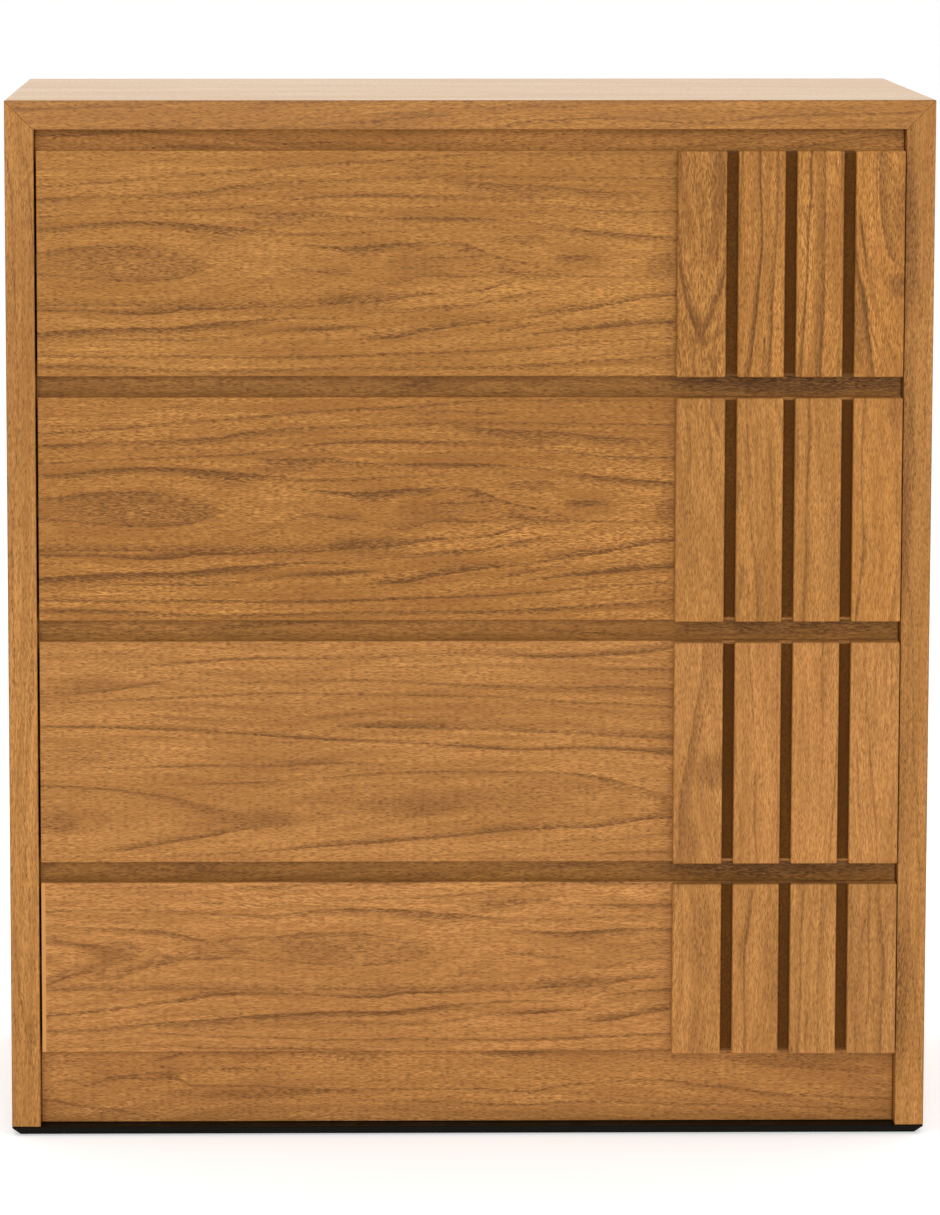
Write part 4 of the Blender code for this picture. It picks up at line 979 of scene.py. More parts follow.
def drawn_lines(tree, along, below, lines, reach):
    """Finds the darkest of the lines drawn on a leaf, each with its curves of depth, darkness and fade."""
    first, last = reach
    share = add_node(tree, "ShaderNodeMapRange", {"Value": along, 1: first, 2: last}).outputs[0]
    wholes = (LEAF_HEIGHT / MILLIMETRE, 1.0, WIDEST_FADE / MILLIMETRE)
    darkest = 0.0
    for side, points in lines:
        curves = add_node(tree, "ShaderNodeRGBCurve", {"Color": share})
        curves.mapping.extend = "HORIZONTAL"
        shares = [min(max((point[0] * MILLIMETRE - first) / (last - first), 0.0), 1.0) for point in points]
        for channel, whole in enumerate(wholes):
            values = [point[1 + channel] / whole for point in points]
            draw_through(curves.mapping.curves[channel], list(zip(shares, values)))
        curves.mapping.update()
        height, darkness, fade = channels_of(tree, curves.outputs[0])
        line = use_group(tree, DRAWN_LINE, Below_Edge=below, Height=height, Darkness=darkness, Fade=fade,
                         Side=side)
        darkest = maths(tree, "MAXIMUM", darkest, line["Dark Line"])
    return darkest


def drawn_patches(tree, along, below, patches):
    """Finds the darkest of the soft patches of a leaf."""
    darkest = 0.0
    for *sizes, darkness in patches:
        middle, depth, length, height = (size * MILLIMETRE for size in sizes)
        patch = use_group(tree, SOFT_PATCH, Along=along, Below_Edge=below, Middle_Along=middle,
                          Middle_Below=depth, Half_Length=length, Half_Height=height, Darkness=darkness)
        darkest = maths(tree, "MAXIMUM", darkest, patch["Dark Patch"])
    return darkest


def drawn_figure(tree, along, below, figure):
    """Finds the darkest of a leaf's drawn lines and soft patches."""
    lines = drawn_lines(tree, along, below, figure.lines, figure.reach)
    return maths(tree, "MAXIMUM", lines, drawn_patches(tree, along, below, figure.patches))


def drifting(tree, felt, figure):
    """Finds how far a figure's lines wander, across the grain and in depth."""
    slow, fine = figure.drift
    return use_group(tree, FIBRE_DRIFT, Grain_Place=felt, Slow_Drift=slow, Fine_Drift=fine)


def edge_figure(tree, band, felt, figure):
    """Finds the dark lines of a front edge's own band of veneer."""
    along, across, _ = parts_of(tree, band)
    inward = maths(tree, "ADD", across, times(tree, drifting(tree, felt, figure)["Across"], DRAWN_WANDER))
    return drawn_figure(tree, along, inward, figure)


def wood_figure(tree, grain, felt, figure, seed):
    """Finds a board's dark lines and soft streaks from its figure."""
    along, across, into = parts_of(tree, grain)
    drift = drifting(tree, felt, figure)
    heart_line = drawn_curve(tree, along, figure.heart)
    cut = drawn_curve(tree, along, figure.depth)
    off_heart = maths(tree, "ADD", maths(tree, "SUBTRACT", across, heart_line), drift["Across"])
    under = maths(tree, "ADD", maths(tree, "ADD", cut, into), drift["Depth"])
    first, rate, crowding = figure.rings
    rings = use_group(tree, RING_LINES, Along=along, Across=off_heart, Depth=under, First_Ring=first,
                      Ring_Rate=rate, Ring_Crowding=crowding, Seed=seed)
    streaks = use_group(tree, FLOW_STREAKS, Along=along, Radius=rings["Radius"], Seed=seed)["Streaks"]
    if not figure.lines:
        return rings["Dark Line"], streaks
    below = maths(tree, "SUBTRACT", times(tree, drift["Across"], DRAWN_WANDER), across)
    drawn = drawn_figure(tree, along, below, figure)
    return maths(tree, "MAXIMUM", drawn, times(tree, rings["Dark Line"], FAINT_RINGS)), streaks


def patches_on(tree, felt):
    """Marks the broad patches of a board."""
    return use_group(tree, SLOW_PATCHES, Grain_Place=felt)["Patches"]


def fibres_on(tree, felt, **sizes):
    """Marks the fine fibres of a board."""
    return use_group(tree, FINE_FIBRES, Grain_Place=felt, **sizes)["Fibres"]


def pores_on(tree, felt, **sizes):
    """Marks the open pores of a board."""
    return use_group(tree, OPEN_PORES, Grain_Place=felt, **sizes)["Pores"]


def arrises_on(tree, place, board, band):
    """Marks the worn arrises of a board."""
    low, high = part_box(board)
    return use_group(tree, WORN_ARRISES, Place=place, Low_Corner=low, High_Corner=high, Band=band)["Arrises"]


def tinted(colour, look):
    """Gives a colour a look's tone and tint."""
    return tuple(channel * look.tone * tint for channel, tint in zip(colour, look.tint))


def veneer_colour(tree, look, marks, at_front):
    """Builds up a veneer's colour from its marks, broad ones first. The painted sheen that pales a top leaves
    the front edge alone.
    """
    contrast = look.contrast
    pale, deep = tinted(HONEY_PALE, look), tinted(HONEY_DEEP, look)
    colour = mix_colours(tree, times(tree, marks.patches, PATCH_SHARE * contrast), pale, deep)
    colour = toned(tree, colour, deep, marks.streaks, STREAK_SHARE * contrast)
    colour = toned(tree, colour, deep, spread(tree, marks.fibres, 0.0, FIBRE_SHARE * contrast))
    shorter = spread(tree, marks.short, *(share * contrast for share in SHORT_SHARES))
    colour = toned(tree, colour, deep, shorter)
    frayed = spread(tree, marks.short, *(share * contrast for share in look.frayed))
    colour = toned(tree, colour, RING_BROWN, maths(tree, "MULTIPLY", marks.dark, frayed, clamp=True))
    filled = maths(tree, "MULTIPLY_ADD", marks.dark, PORE_FILL, look.pore_depth * min(contrast, 1.0))
    colour = toned(tree, colour, PORE_BROWN, times(tree, marks.dashes, filled))
    # painted sheen: a top is washed towards the pale honey and paled, standing for its grazing sheen
    if look.bleach:
        calm = mix_colours(tree, TOP_SHEEN_WASH, colour, pale)
        sheened = mix_colours(tree, 1.0, calm, look.bleach, blend="MULTIPLY")
        colour = mix_colours(tree, at_front, sheened, colour)
    return toned(tree, colour, RING_BROWN, marks.arrises, ARRIS_SHARE)


def veneer(name, board, along, across, start, figure, seed, look, core=None, edge=None, lipping=False,
           stained=None):
    """Satin open-pore veneer for one board, which may have a core that shows at its rear, a front edge with a
    figure of its own, a pale lipping at its left end, or a stained strip."""
    material, tree, shader, place = new_material(name)
    low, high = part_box(board)
    grain = felt = grain_place(tree, place, along, across, start)
    at_front = 1.0
    if edge:
        grain, felt, at_front, band = banded_grain(tree, place, grain, along, low)
    felt = seeded_place(tree, felt, seed)
    dark, streaks = wood_figure(tree, grain, felt, figure, seed)
    if edge:
        at_edge = maths(tree, "MAXIMUM", times(tree, dark, FAINT_RINGS), edge_figure(tree, band, felt, edge))
        dark = either(tree, at_front, dark, at_edge)
    short = fibres_on(tree, felt, Streak_Length=0.0060, Streak_Width=0.0009, Slant=0.006)
    marks = Marks(dark, streaks, patches_on(tree, felt), fibres_on(tree, felt), short,
                  pores_on(tree, felt, Share=look.pores), arrises_on(tree, place, board, ARRIS_BAND))
    colour = veneer_colour(tree, look, marks, at_front)
    height = maths(tree, "SUBTRACT", times(tree, marks.fibres, 0.35), marks.dashes)
    if lipping:
        left = maths(tree, "SUBTRACT", parts_of(tree, place)[0], low.x)
        plain = mix_colours(tree, spread(tree, marks.fibres, 0.0, 0.35), LIPPING_PALE, HONEY_PALE)
        colour = toned(tree, colour, plain, maths(tree, "LESS_THAN", left, LIPPING_WIDTH))
    if stained:
        stain = mix_colours(tree, marks.patches, GROOVE_BROWN, GROOVE_DEEP)
        colour = toned(tree, colour, stain, stained_strip(tree, place, low, stained))
    if core:
        chips = use_group(tree, PRESSED_CHIPS, Place=place)
        on_core = sawn_edge(tree, place, low, high, core)
        colour = toned(tree, colour, mix_colours(tree, chips["Tone"], *CORE_TONES), on_core)
        height = either(tree, on_core, height, chips["Height"])
    uneven = spread(tree, marks.patches, look.rough - 0.02, look.rough + 0.04)
    rough = maths(tree, "MULTIPLY_ADD", marks.dashes, 0.45 * look.relief, uneven)
    set_surface(tree, shader, colour, rough, height, strength=look.relief, distance=0.00016)
    shader.inputs["Specular IOR Level"].default_value = look.specular
    return material


def within(tree, value, start, end):
    """Marks where a value lies between two others."""
    return times(tree, maths(tree, "GREATER_THAN", value, start), maths(tree, "LESS_THAN", value, end))


def stained_strip(tree, place, low, ends):
    """Marks the strip of a front behind the grooves, stained where the dark sheet doesn't reach its edges."""
    parts = parts_of(tree, place)
    on_face = maths(tree, "LESS_THAN", parts[1], low.y + ON_FACE)
    return times(tree, on_face, within(tree, parts[0], *ends))


def sawn_edge(tree, place, low, high, thin_axis):
    """Marks the core seen at a board's rear edge, between its two skins of veneer."""
    parts = parts_of(tree, place)
    axis = "xyz".index(thin_axis)
    at_rear = maths(tree, "GREATER_THAN", parts[1], high.y - REAR_SKIN)
    return times(tree, at_rear, within(tree, parts[axis], low[axis] + VENEER_SKIN, high[axis] - VENEER_SKIN))


BEECH_FIGURE = Figure(((0.0, 0.110), (0.2, 0.125), (0.4, 0.105), (0.8, 0.12)),
                      ((0.0, 0.030), (0.3, 0.050), (0.8, 0.040)), BEECH_RINGS, BEECH_DRIFT)


def beech(name, board, along, across, seed, worn=0.0):
    """Pale beech of the boxes and runners: straight fine grain and short brown flecks, lacquered or waxed."""
    material, tree, shader, place = new_material(name)
    grain = grain_place(tree, place, along, across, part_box(board)[0])
    felt = seeded_place(tree, grain, seed)
    dark, streaks = wood_figure(tree, grain, felt, BEECH_FIGURE, seed)
    fibres = fibres_on(tree, felt)
    flecks = pores_on(tree, felt, Pore_Length=0.0046, Pore_Width=0.0016, Share=0.42)
    colour = mix_colours(tree, patches_on(tree, felt), BEECH_PALE, BEECH_DEEP)
    colour = toned(tree, colour, BEECH_DEEP, dark, 0.85)
    colour = toned(tree, colour, BEECH_DEEP, streaks, 0.55)
    colour = toned(tree, colour, BEECH_DEEP, spread(tree, fibres, 0.0, 0.35))
    colour = toned(tree, colour, BEECH_FLECK, flecks, 0.60)
    colour = toned(tree, colour, BEECH_FLECK, arrises_on(tree, place, board, 0.0016), 0.25 + worn)
    height = maths(tree, "SUBTRACT", times(tree, fibres, 0.5), times(tree, flecks, 0.6))
    rough = spread(tree, fibres, 0.40 - worn, 0.50)
    set_surface(tree, shader, colour, rough, height, strength=0.35, distance=0.00012)
    return material


def hardboard(name, board):
    """Brown hardboard: felted fibres, with the print of a wire screen on it."""
    material, tree, shader, place = new_material(name)
    cloud = noise(tree, place, scale=9.0, detail=4.0, roughness=0.6)
    felt = noise(tree, place, scale=420.0, detail=4.0, roughness=0.7)
    hairs = pores_on(tree, place, Pore_Length=0.006, Pore_Width=0.0012, Share=0.35)
    screen = cells(tree, place, scale=640.0, randomness=0.12)["Distance"]
    colour = mix_colours(tree, smooth_step(tree, cloud, 0.3, 0.7, 0.1, 0.6), HARDBOARD_PALE, HARDBOARD_DEEP)
    colour = toned(tree, colour, HARDBOARD_DEEP, smooth_step(tree, felt, 0.45, 0.75, 0.0, 0.5))
    colour = toned(tree, colour, CORE_TONES[0], hairs, 0.22)
    colour = toned(tree, colour, CORE_TONES[1], arrises_on(tree, place, board, 0.003), 0.35)
    height = maths(tree, "ADD", times(tree, screen, 0.8), felt)
    rough = smooth_step(tree, felt, 0.2, 0.8, 0.55, 0.75)
    set_surface(tree, shader, colour, rough, height, strength=0.4, distance=0.00025)
    return material


def stained_sheet(name):
    """The thin sheet behind the slats, stained an even dark brown."""
    material, tree, shader, place = new_material(name)
    grain = grain_place(tree, place, "z", "x")
    fibres = fibres_on(tree, grain)
    dashes = pores_on(tree, grain, Share=0.3)
    specks = noise(tree, place, scale=620.0, detail=1.0)
    colour = mix_colours(tree, patches_on(tree, grain), GROOVE_BROWN, GROOVE_DEEP)
    colour = toned(tree, colour, GROOVE_DEEP, spread(tree, fibres, 0.0, 0.30))
    colour = toned(tree, colour, PORE_BROWN, smooth_step(tree, specks, 0.40, 0.62, 0.0, 0.75))
    colour = toned(tree, colour, PORE_BROWN, dashes, 0.40)
    height = maths(tree, "SUBTRACT", fibres, dashes)
    rough = spread(tree, fibres, 0.55, 0.70)
    set_surface(tree, shader, colour, rough, height, strength=0.3, distance=0.0001)
    shader.inputs["Specular IOR Level"].default_value = LACQUER_SPECULAR
    return material


def black_base_and_shadow(name, board):
    """Near-black satin lacquer on the base, with dust low down and rubbed edges; the base also stands in for
    the dark strip of shadow under the chest, so its black is partly painted shadow.
    """
    material, tree, shader, place = new_material(name)
    peel = noise(tree, place, scale=260.0)
    dust = noise(tree, place, scale=38.0, detail=5.0, roughness=0.7)
    # the base's near-black is partly painted shadow of the strip under the chest
    colour = mix_colours(tree, smooth_step(tree, dust, 0.45, 0.80, 0.02, 0.35), BASE_AND_SHADOW_BLACK, LACQUER_DUST)
    colour = toned(tree, colour, LACQUER_DUST, arrises_on(tree, place, board, 0.0016), 0.30)
    rough = smooth_step(tree, dust, 0.3, 0.7, 0.36, 0.52)
    set_surface(tree, shader, colour, rough, peel, strength=0.15, distance=0.0002)
    shader.inputs["Specular IOR Level"].default_value = LACQUER_SPECULAR
    return material


def dull_zinc(name):
    """Zinc-plated steel of the small fastenings, a little clouded."""
    material, tree, shader, place = new_material(name)
    cloud = noise(tree, place, scale=900.0, detail=3.0, roughness=0.6)
    scratches = noise(tree, stretched(tree, place, (300.0, 5200.0, 300.0)))
    colour = mix_colours(tree, smooth_step(tree, cloud, 0.3, 0.7), ZINC_PALE, ZINC_DULL)
    rough = smooth_step(tree, cloud, 0.3, 0.7, 0.28, 0.48)
    set_surface(tree, shader, colour, rough, scratches, strength=0.2, distance=0.00005)
    shader.inputs["Metallic"].default_value = 1.0
    return material


def hide_glue(name):
    """The thin brown glue line of a joint, rubbed with dust of the wood."""
    material, tree, shader, place = new_material(name)
    dust = noise(tree, place, scale=520.0, detail=4.0, roughness=0.65)
    broad = noise(tree, place, scale=24.0)
    colour = mix_colours(tree, smooth_step(tree, dust, 0.3, 0.7), GLUE_AMBER, HONEY_PALE)
    colour = toned(tree, colour, HONEY_DEEP, smooth_step(tree, broad, 0.5, 0.8, 0.0, 0.4))
    rough = smooth_step(tree, broad, 0.3, 0.7, 0.42, 0.58)
    set_surface(tree, shader, colour, rough, dust, strength=0.3, distance=0.0001)
    return material


def pale_floor(name):
    """The studio's near-white floor, which glows a little."""
    material, tree, shader, place = new_material(name)
    cloud = noise(tree, place, scale=1.4, detail=3.0)
    grit = noise(tree, place, scale=240.0)
    tree.links.new(mix_colours(tree, cloud, FLOOR_WHITE, FLOOR_SHADE), shader.inputs["Base Color"])
    tree.links.new(spread(tree, grit, 0.75, 0.95), shader.inputs["Roughness"])
    shader.inputs["Emission Color"].default_value = WHITE
    shader.inputs["Emission Strength"].default_value = FLOOR_GLOW
    return material


# Pieces

def node_object(name):
    """Finds a part of the frame by its name."""
    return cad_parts[name]


def finish_node(name, material):
    """Gives a part of the frame its finish."""
    node = node_object(name)
    for slot in node.material_slots:
        slot.material = material
    if not node.material_slots:
        node.data.materials.append(material)


def deselect_all():
    """Leaves nothing selected, so that an operator acts only on what is chosen next."""
    if bpy.context.object and bpy.context.object.mode != "OBJECT":
        bpy.ops.object.mode_set(mode="OBJECT")
    bpy.ops.object.select_all(action="DESELECT")


def copy_of(source, name):
    """Copies a piece with a mesh of its own, and starts the copy's editing with everything selected."""
    copy = bpy.data.objects.new(name, source.data.copy())
    bpy.context.scene.collection.objects.link(copy)
    deselect_all()
    copy.select_set(True)
    bpy.context.view_layer.objects.active = copy
    bpy.ops.object.mode_set(mode="EDIT")
    bpy.ops.mesh.select_all(action="SELECT")
    return copy


def new_cylinder(name, facets, radius, depth, middle, turn):
    """Adds a short cylinder, writes its place and turn into its mesh, and starts its editing."""
    deselect_all()
    bpy.ops.mesh.primitive_cylinder_add(vertices=facets, radius=radius, depth=depth, location=middle,
                                        rotation=turn)
    piece = bpy.context.object
    piece.name = name
    bpy.ops.object.transform_apply(location=True, rotation=True, scale=True)
    bpy.ops.object.mode_set(mode="EDIT")
    return piece


def end_editing(smooth_angle):
    """Ends the editing of the chosen piece, and smooths it where its faces meet at less than an angle."""
    bpy.ops.object.mode_set(mode="OBJECT")
    bpy.ops.object.shade_smooth_by_angle(angle=smooth_angle)


def is_box_arris(edge, low, high):
    """True for an edge that runs along an axis on two outer faces of the board's box."""
    first, second = edge.verts[0].co, edge.verts[1].co
    still = [i for i in range(3) if abs(first[i] - second[i]) <= STRAIGHT]
    return len(still) == 2 and all(min(abs(first[i] - low[i]), abs(first[i] - high[i])) < NEAR for i in still)


def eased_board(name, body, material, radius, every_edge=False):
    """Copies a board of the frame, joins its triangles, rounds its arrises, and replaces the board."""
    piece = copy_of(node_object(name), f"{name}_finished")
    low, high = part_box(name)
    bpy.ops.mesh.remove_doubles(threshold=NEAR)
    bpy.ops.mesh.dissolve_limited(angle_limit=FLAT_ANGLE)
    bpy.ops.mesh.select_mode(type="EDGE")
    bpy.ops.mesh.select_all(action="DESELECT")
    mesh = bmesh.from_edit_mesh(piece.data)
    for edge in mesh.edges:
        sharp = len(edge.link_faces) == 2 and edge.calc_face_angle() > SHARP_ANGLE
        edge.select = sharp and (every_edge or is_box_arris(edge, low, high))
    bmesh.update_edit_mesh(piece.data)
    bpy.ops.mesh.bevel(offset=radius, segments=2, profile=0.5, affect="EDGES", clamp_overlap=True)
    end_editing(BOARD_SMOOTH)
    weighted = piece.modifiers.new("flat faces kept flat", "WEIGHTED_NORMAL")
    weighted.keep_sharp = True
    bpy.ops.object.modifier_apply(modifier=weighted.name)
    piece.data.materials.clear()
    piece.data.materials.append(material)
    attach(piece, body)
    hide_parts(name)


# Boards of the carcass

TOP_HEART = ((0.0, 0.16), (0.3, 0.20), (0.6, 0.17), (0.8, 0.19))
TOP_DEPTH = ((0.0, 0.030), (0.25, 0.042), (0.5, 0.034), (0.8, 0.050))
SIDE_DEPTH = ((0.0, 0.045), (0.3, 0.035), (0.6, 0.048), (0.9, 0.038))


def front_edge(name):
    """The figure of a panel's front edge, and on the right side panel the painted shade of the slats."""
    return Figure((), (), (), LEAF_DRIFT, EDGE_LINES[name], EDGE_PATCHES_AND_SHADE[name], EDGE_REACH)


def dress_top_and_sides():
    """Top panel with its grain from side to side, and side panels with theirs upright."""
    # the top's look carries a painted sheen that pales it
    look = Look(contrast=0.95, rough=0.27, relief=0.10, specular=TOP_SPECULAR, bleach=TOP_PAINTED_SHEEN)
    figure = Figure(TOP_HEART, TOP_DEPTH, TOP_RINGS)
    top = veneer("veneer top", "top_panel", "x", "y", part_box("top_panel")[0], figure, seed=3.1, look=look,
                 core="z", edge=front_edge("top_panel"))
    eased_board("top_panel", "carcass", top, OUTER_ARRIS)
    look = Look(contrast=0.80, tint=(1.0, 1.02, 1.15))
    for name, seed, heart in (("left_side_panel", 5.3, 0.11), ("right_side_panel", 7.9, 0.26)):
        side_heart = ((0.0, heart), (0.3, heart + 0.03), (0.6, heart - 0.01), (0.9, heart + 0.02))
        figure = Figure(side_heart, SIDE_DEPTH, SIDE_RINGS)
        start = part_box(name)[0]
        side = veneer(f"veneer {in_words(name)}", name, "z", "y", start, figure, seed=seed, look=look,
                      core="x", edge=front_edge(name))
        eased_board(name, "carcass", side, OUTER_ARRIS)


def glue_mitres():
    """Fills the two mitre joints with their glue line, which hardly shows."""
    low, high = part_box("top_panel")
    rebate_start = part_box("back_panel")[0].y
    thick = high.z - low.z
    depth = rebate_start - low.y - GLUE_SUNK - GLUE_SHORT
    for side, word in SIDES:
        corner = side * high.x
        middle = (corner - side * thick / 2, low.y + GLUE_SUNK + depth / 2, high.z - thick / 2)
        deselect_all()
        turn = (0.0, side * math.radians(-45.0), 0.0)
        bpy.ops.mesh.primitive_cube_add(size=1.0, location=middle, rotation=turn)
        glue = bpy.context.object
        glue.name = f"mitre_glue_{word}"
        glue.scale = (thick * GLUE_LENGTH, depth, GLUE_THICKNESS)
        bpy.ops.object.transform_apply(location=True, rotation=True, scale=True)
        bpy.ops.object.mode_set(mode="EDIT")
        trim_away((0.0, 0.0, high.z - GLUE_SHORT), (0.0, 0.0, 1.0))
        trim_away((0.0, 0.0, low.z + GLUE_SUNK), (0.0, 0.0, -1.0))
        trim_away((corner - side * GLUE_SHORT, 0.0, 0.0), (side, 0.0, 0.0))
        trim_away((corner - side * (thick - GLUE_SUNK), 0.0, 0.0), (-side, 0.0, 0.0))
        bpy.ops.object.mode_set(mode="OBJECT")
        glue.data.materials.append(hide_glue(f"glue line {word}"))
        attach(glue, "carcass")


def trim_away(point, normal):
    """Cuts off what lies beyond a plane in the piece that is being edited, and closes the cut."""
    bpy.ops.mesh.select_all(action="SELECT")
    bpy.ops.mesh.bisect(plane_co=point, plane_no=normal, use_fill=True, clear_outer=True)


def in_thirds(length, hearts, depths):
    """Sets a heart and a depth at the start, the middle and the end of a board."""
    thirds = (0.0, length / 2, length)
    return tuple(zip(thirds, hearts)), tuple(zip(thirds, depths))


RAIL_LOOKS = {
    # heart off the rail's lower edge at its left end, middle and right end; depths at the same three places;
    # tone, partly the wood's own and partly painted light that makes a rail lighter where more light reaches
    # its gap; contrast; share of blue
    "top_rail": ((0.062, 0.040, 0.070), (0.030, 0.022, 0.034), 1.19, 1.00, 1.00),
    "divider_rail_1": ((-0.030, -0.012, -0.036), (0.026, 0.034, 0.028), 0.98, 1.00, 1.00),
    "divider_rail_2": ((0.090, 0.075, 0.096), (0.028, 0.032, 0.024), 1.06, 0.95, 1.00),
    "divider_rail_3": ((0.030, 0.060, 0.044), (0.022, 0.030, 0.034), 0.93, 1.00, 1.00),
    "plinth_rail": ((0.040, 0.062, 0.034), (0.018, 0.034, 0.022), 1.10, 1.05, 1.18),
}


def dress_rails():
    """The set-back rails."""
    for number, (name, (hearts, depths, tone, contrast, blue)) in enumerate(RAIL_LOOKS.items()):
        low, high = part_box(name)
        level = RAIL_LEVELS[name]
        hearts = [heart - (level - low.z) for heart in hearts]
        figure = Figure(*in_thirds(high.x - low.x, hearts, depths), RAIL_RINGS, RAIL_DRIFT, RAIL_LINES_AND_SHADE[name],
                        RAIL_PATCHES_AND_SHADE[name], RAIL_REACH)
        look = Look(tone=tone, contrast=contrast, tint=(1.0, 1.01, blue))
        start = (FRONT_END, low.y, level)
        rail = veneer(f"veneer {in_words(name)}", name, "x", "z", start, figure, seed=11.0 + number * 1.3,
                      look=look)
        eased_board(name, "carcass", rail, BOARD_ARRIS)


def dress_inside():
    """Bottom panel, back panel, runners and the black base."""
    finish_node("bottom_panel", beech("beech bottom panel", "bottom_panel", "x", "y", seed=21.0))
    finish_node("back_panel", hardboard("hardboard back", "back_panel"))
    # the base's black is partly painted shadow of the strip under the chest
    lacquer = black_base_and_shadow("black base and painted shadow", "base_board")
    eased_board("base_board", "carcass", lacquer, BASE_ARRIS, every_edge=True)
    for number in DRAWERS:
        for _, word in SIDES:
            name = f"runner_{number}_{word}"
            wax = beech(f"waxed beech {in_words(name)}", name, "y", "x", seed=30.0 + number, worn=0.08)
            finish_node(name, wax)


# Drawers

def flipped(points):
    """Turns depths below a front's top edge into heights that grow upwards."""
    return tuple((start, -height) for start, height in points)


FLAME_LEAF = Figure(flipped(FLAME_HEART), FLAME_DEPTH, FLAME_RINGS, LEAF_DRIFT, FLAME_LINES, FLAME_PATCHES)
BROAD_LEAF = Figure(flipped(BROAD_HEART), BROAD_DEPTH, BROAD_RINGS, LEAF_DRIFT, BROAD_LINES, BROAD_PATCHES)
FRONT_LEAVES = {
    # leaf, its shift to the right, its shift down, seed, tone, contrast, share of blue, fraying of its lines,
    # and whether it is stained behind the slats
    1: (FLAME_LEAF, 0.000, 0.0000, 2.0, 0.99, 0.97, 1.02, FRAYED_LINES, True),
    2: (FLAME_LEAF, 0.009, 0.0000, 2.0, 1.08, 1.32, 1.05, FRAYED_LINES, False),
    3: (BROAD_LEAF, 0.000, 0.0000, 9.0, 1.02, 0.95, 1.18, WHOLE_LINES, False),
    4: (FLAME_LEAF, 0.1906, -0.0381, 6.0, 1.09, 0.92, 1.24, WHOLE_LINES, True),
}


def dress_fronts():
    """The four flat fronts: one long leaf crosses fronts 1, 2 and 4, and front 3 has a broader one."""
    for number, (leaf, right, down, seed, tone, contrast, blue, frayed, is_stained) in FRONT_LEAVES.items():
        name = f"drawer_{number}_front"
        start = (FRONT_END + right, FRONT_FACE, FRONT_TOPS[number] - down)
        left_slat, right_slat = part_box(f"drawer_{number}_slat_1"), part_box(f"drawer_{number}_slat_4")
        grooves = (left_slat[1].x - ON_FACE, right_slat[0].x + ON_FACE)
        look = Look(tone, contrast, (1.0, 1.01, blue), frayed)
        front = veneer(f"veneer front {number}", name, "x", "z", start, leaf, seed=seed, look=look,
                       lipping=number == 4, stained=grooves if is_stained else None)
        eased_board(name, f"drawer_{number}", front, BOARD_ARRIS)


SLAT_TINTS = {1: (1.0, 1.0, 1.0), 2: (1.0, 1.0, 1.05), 3: (1.0, 1.01, 1.20), 4: (1.0, 1.02, 1.20)}
SLAT_FIGURES = {
    # heart off the slat's left edge at its foot, middle and head; depths at the same three places; contrast;
    # tone
    (1, 1): ((0.020, 0.022, 0.019), (0.046, 0.019, 0.014), 1.25, 0.95),
    (1, 2): ((-0.082, -0.076, -0.074), (0.030, 0.030, 0.026), 1.14, 1.10),
    (1, 3): ((-0.100, -0.094, -0.096), (0.030, 0.034, 0.030), 1.12, 1.12),
    (1, 4): ((0.085, 0.066, 0.060), (0.040, 0.030, 0.024), 1.25, 1.20),
    (2, 1): ((0.100, 0.094, 0.090), (0.060, 0.045, 0.030), 0.80, 0.94),
    (2, 2): ((0.125, 0.128, 0.122), (0.050, 0.050, 0.044), 0.82, 0.96),
    (2, 3): ((-0.110, -0.106, -0.109), (0.040, 0.036, 0.040), 0.82, 0.97),
    (2, 4): ((-0.080, -0.074, -0.082), (0.050, 0.048, 0.050), 0.82, 1.13),
    (3, 1): ((-0.060, -0.078, -0.092), (0.034, 0.034, 0.030), 0.82, 1.01),
    (3, 2): ((-0.120, -0.118, -0.122), (0.050, 0.052, 0.050), 0.78, 1.08),
    (3, 3): ((0.140, 0.144, 0.136), (0.050, 0.050, 0.052), 0.78, 1.09),
    (3, 4): ((0.160, 0.152, 0.156), (0.060, 0.060, 0.056), 0.78, 1.04),
    (4, 1): ((0.110, 0.112, 0.108), (0.046, 0.052, 0.050), 0.85, 1.05),
    (4, 2): ((-0.100, -0.094, -0.104), (0.040, 0.042, 0.040), 0.85, 1.07),
    (4, 3): ((-0.120, -0.122, -0.118), (0.034, 0.036, 0.034), 0.78, 0.99),
    (4, 4): ((0.116, 0.112, 0.120), (0.032, 0.030, 0.034), 0.78, 0.94),
}


def upwards(lines):
    """Puts each line's points in order from the slat's foot to its head."""
    return tuple((side, tuple(sorted(points))) for side, points in lines)


def dress_slats():
    """The upright slats, each sawn from its own stick, on their dark sheet."""
    for number in DRAWERS:
        backing = f"drawer_{number}_slat_backing"
        finish_node(backing, stained_sheet(f"stained sheet {number}"))
        for place in SLATS:
            name = f"drawer_{number}_slat_{place}"
            low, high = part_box(name)
            hearts, depths, contrast, tone = SLAT_FIGURES[number, place]
            hearts = [heart - (high.x - low.x) for heart in hearts]
            figure = Figure(*in_thirds(high.z - low.z, hearts, depths), SLAT_RINGS, SLAT_DRIFT,
                            upwards(SLAT_LINES[number, place]), SLAT_PATCHES.get((number, place), ()))
            look = Look(tone, contrast, SLAT_TINTS[number], SLAT_FRAY, pores=0.80, pore_depth=0.42)
            slat = veneer(f"slat wood {number} {place}", name, "z", "x", (high.x, low.y, low.z), figure,
                          seed=40.0 + number * 4.1 + place * 1.7, look=look)
            eased_board(name, f"drawer_{number}", slat, SLAT_ROUNDING, every_edge=True)


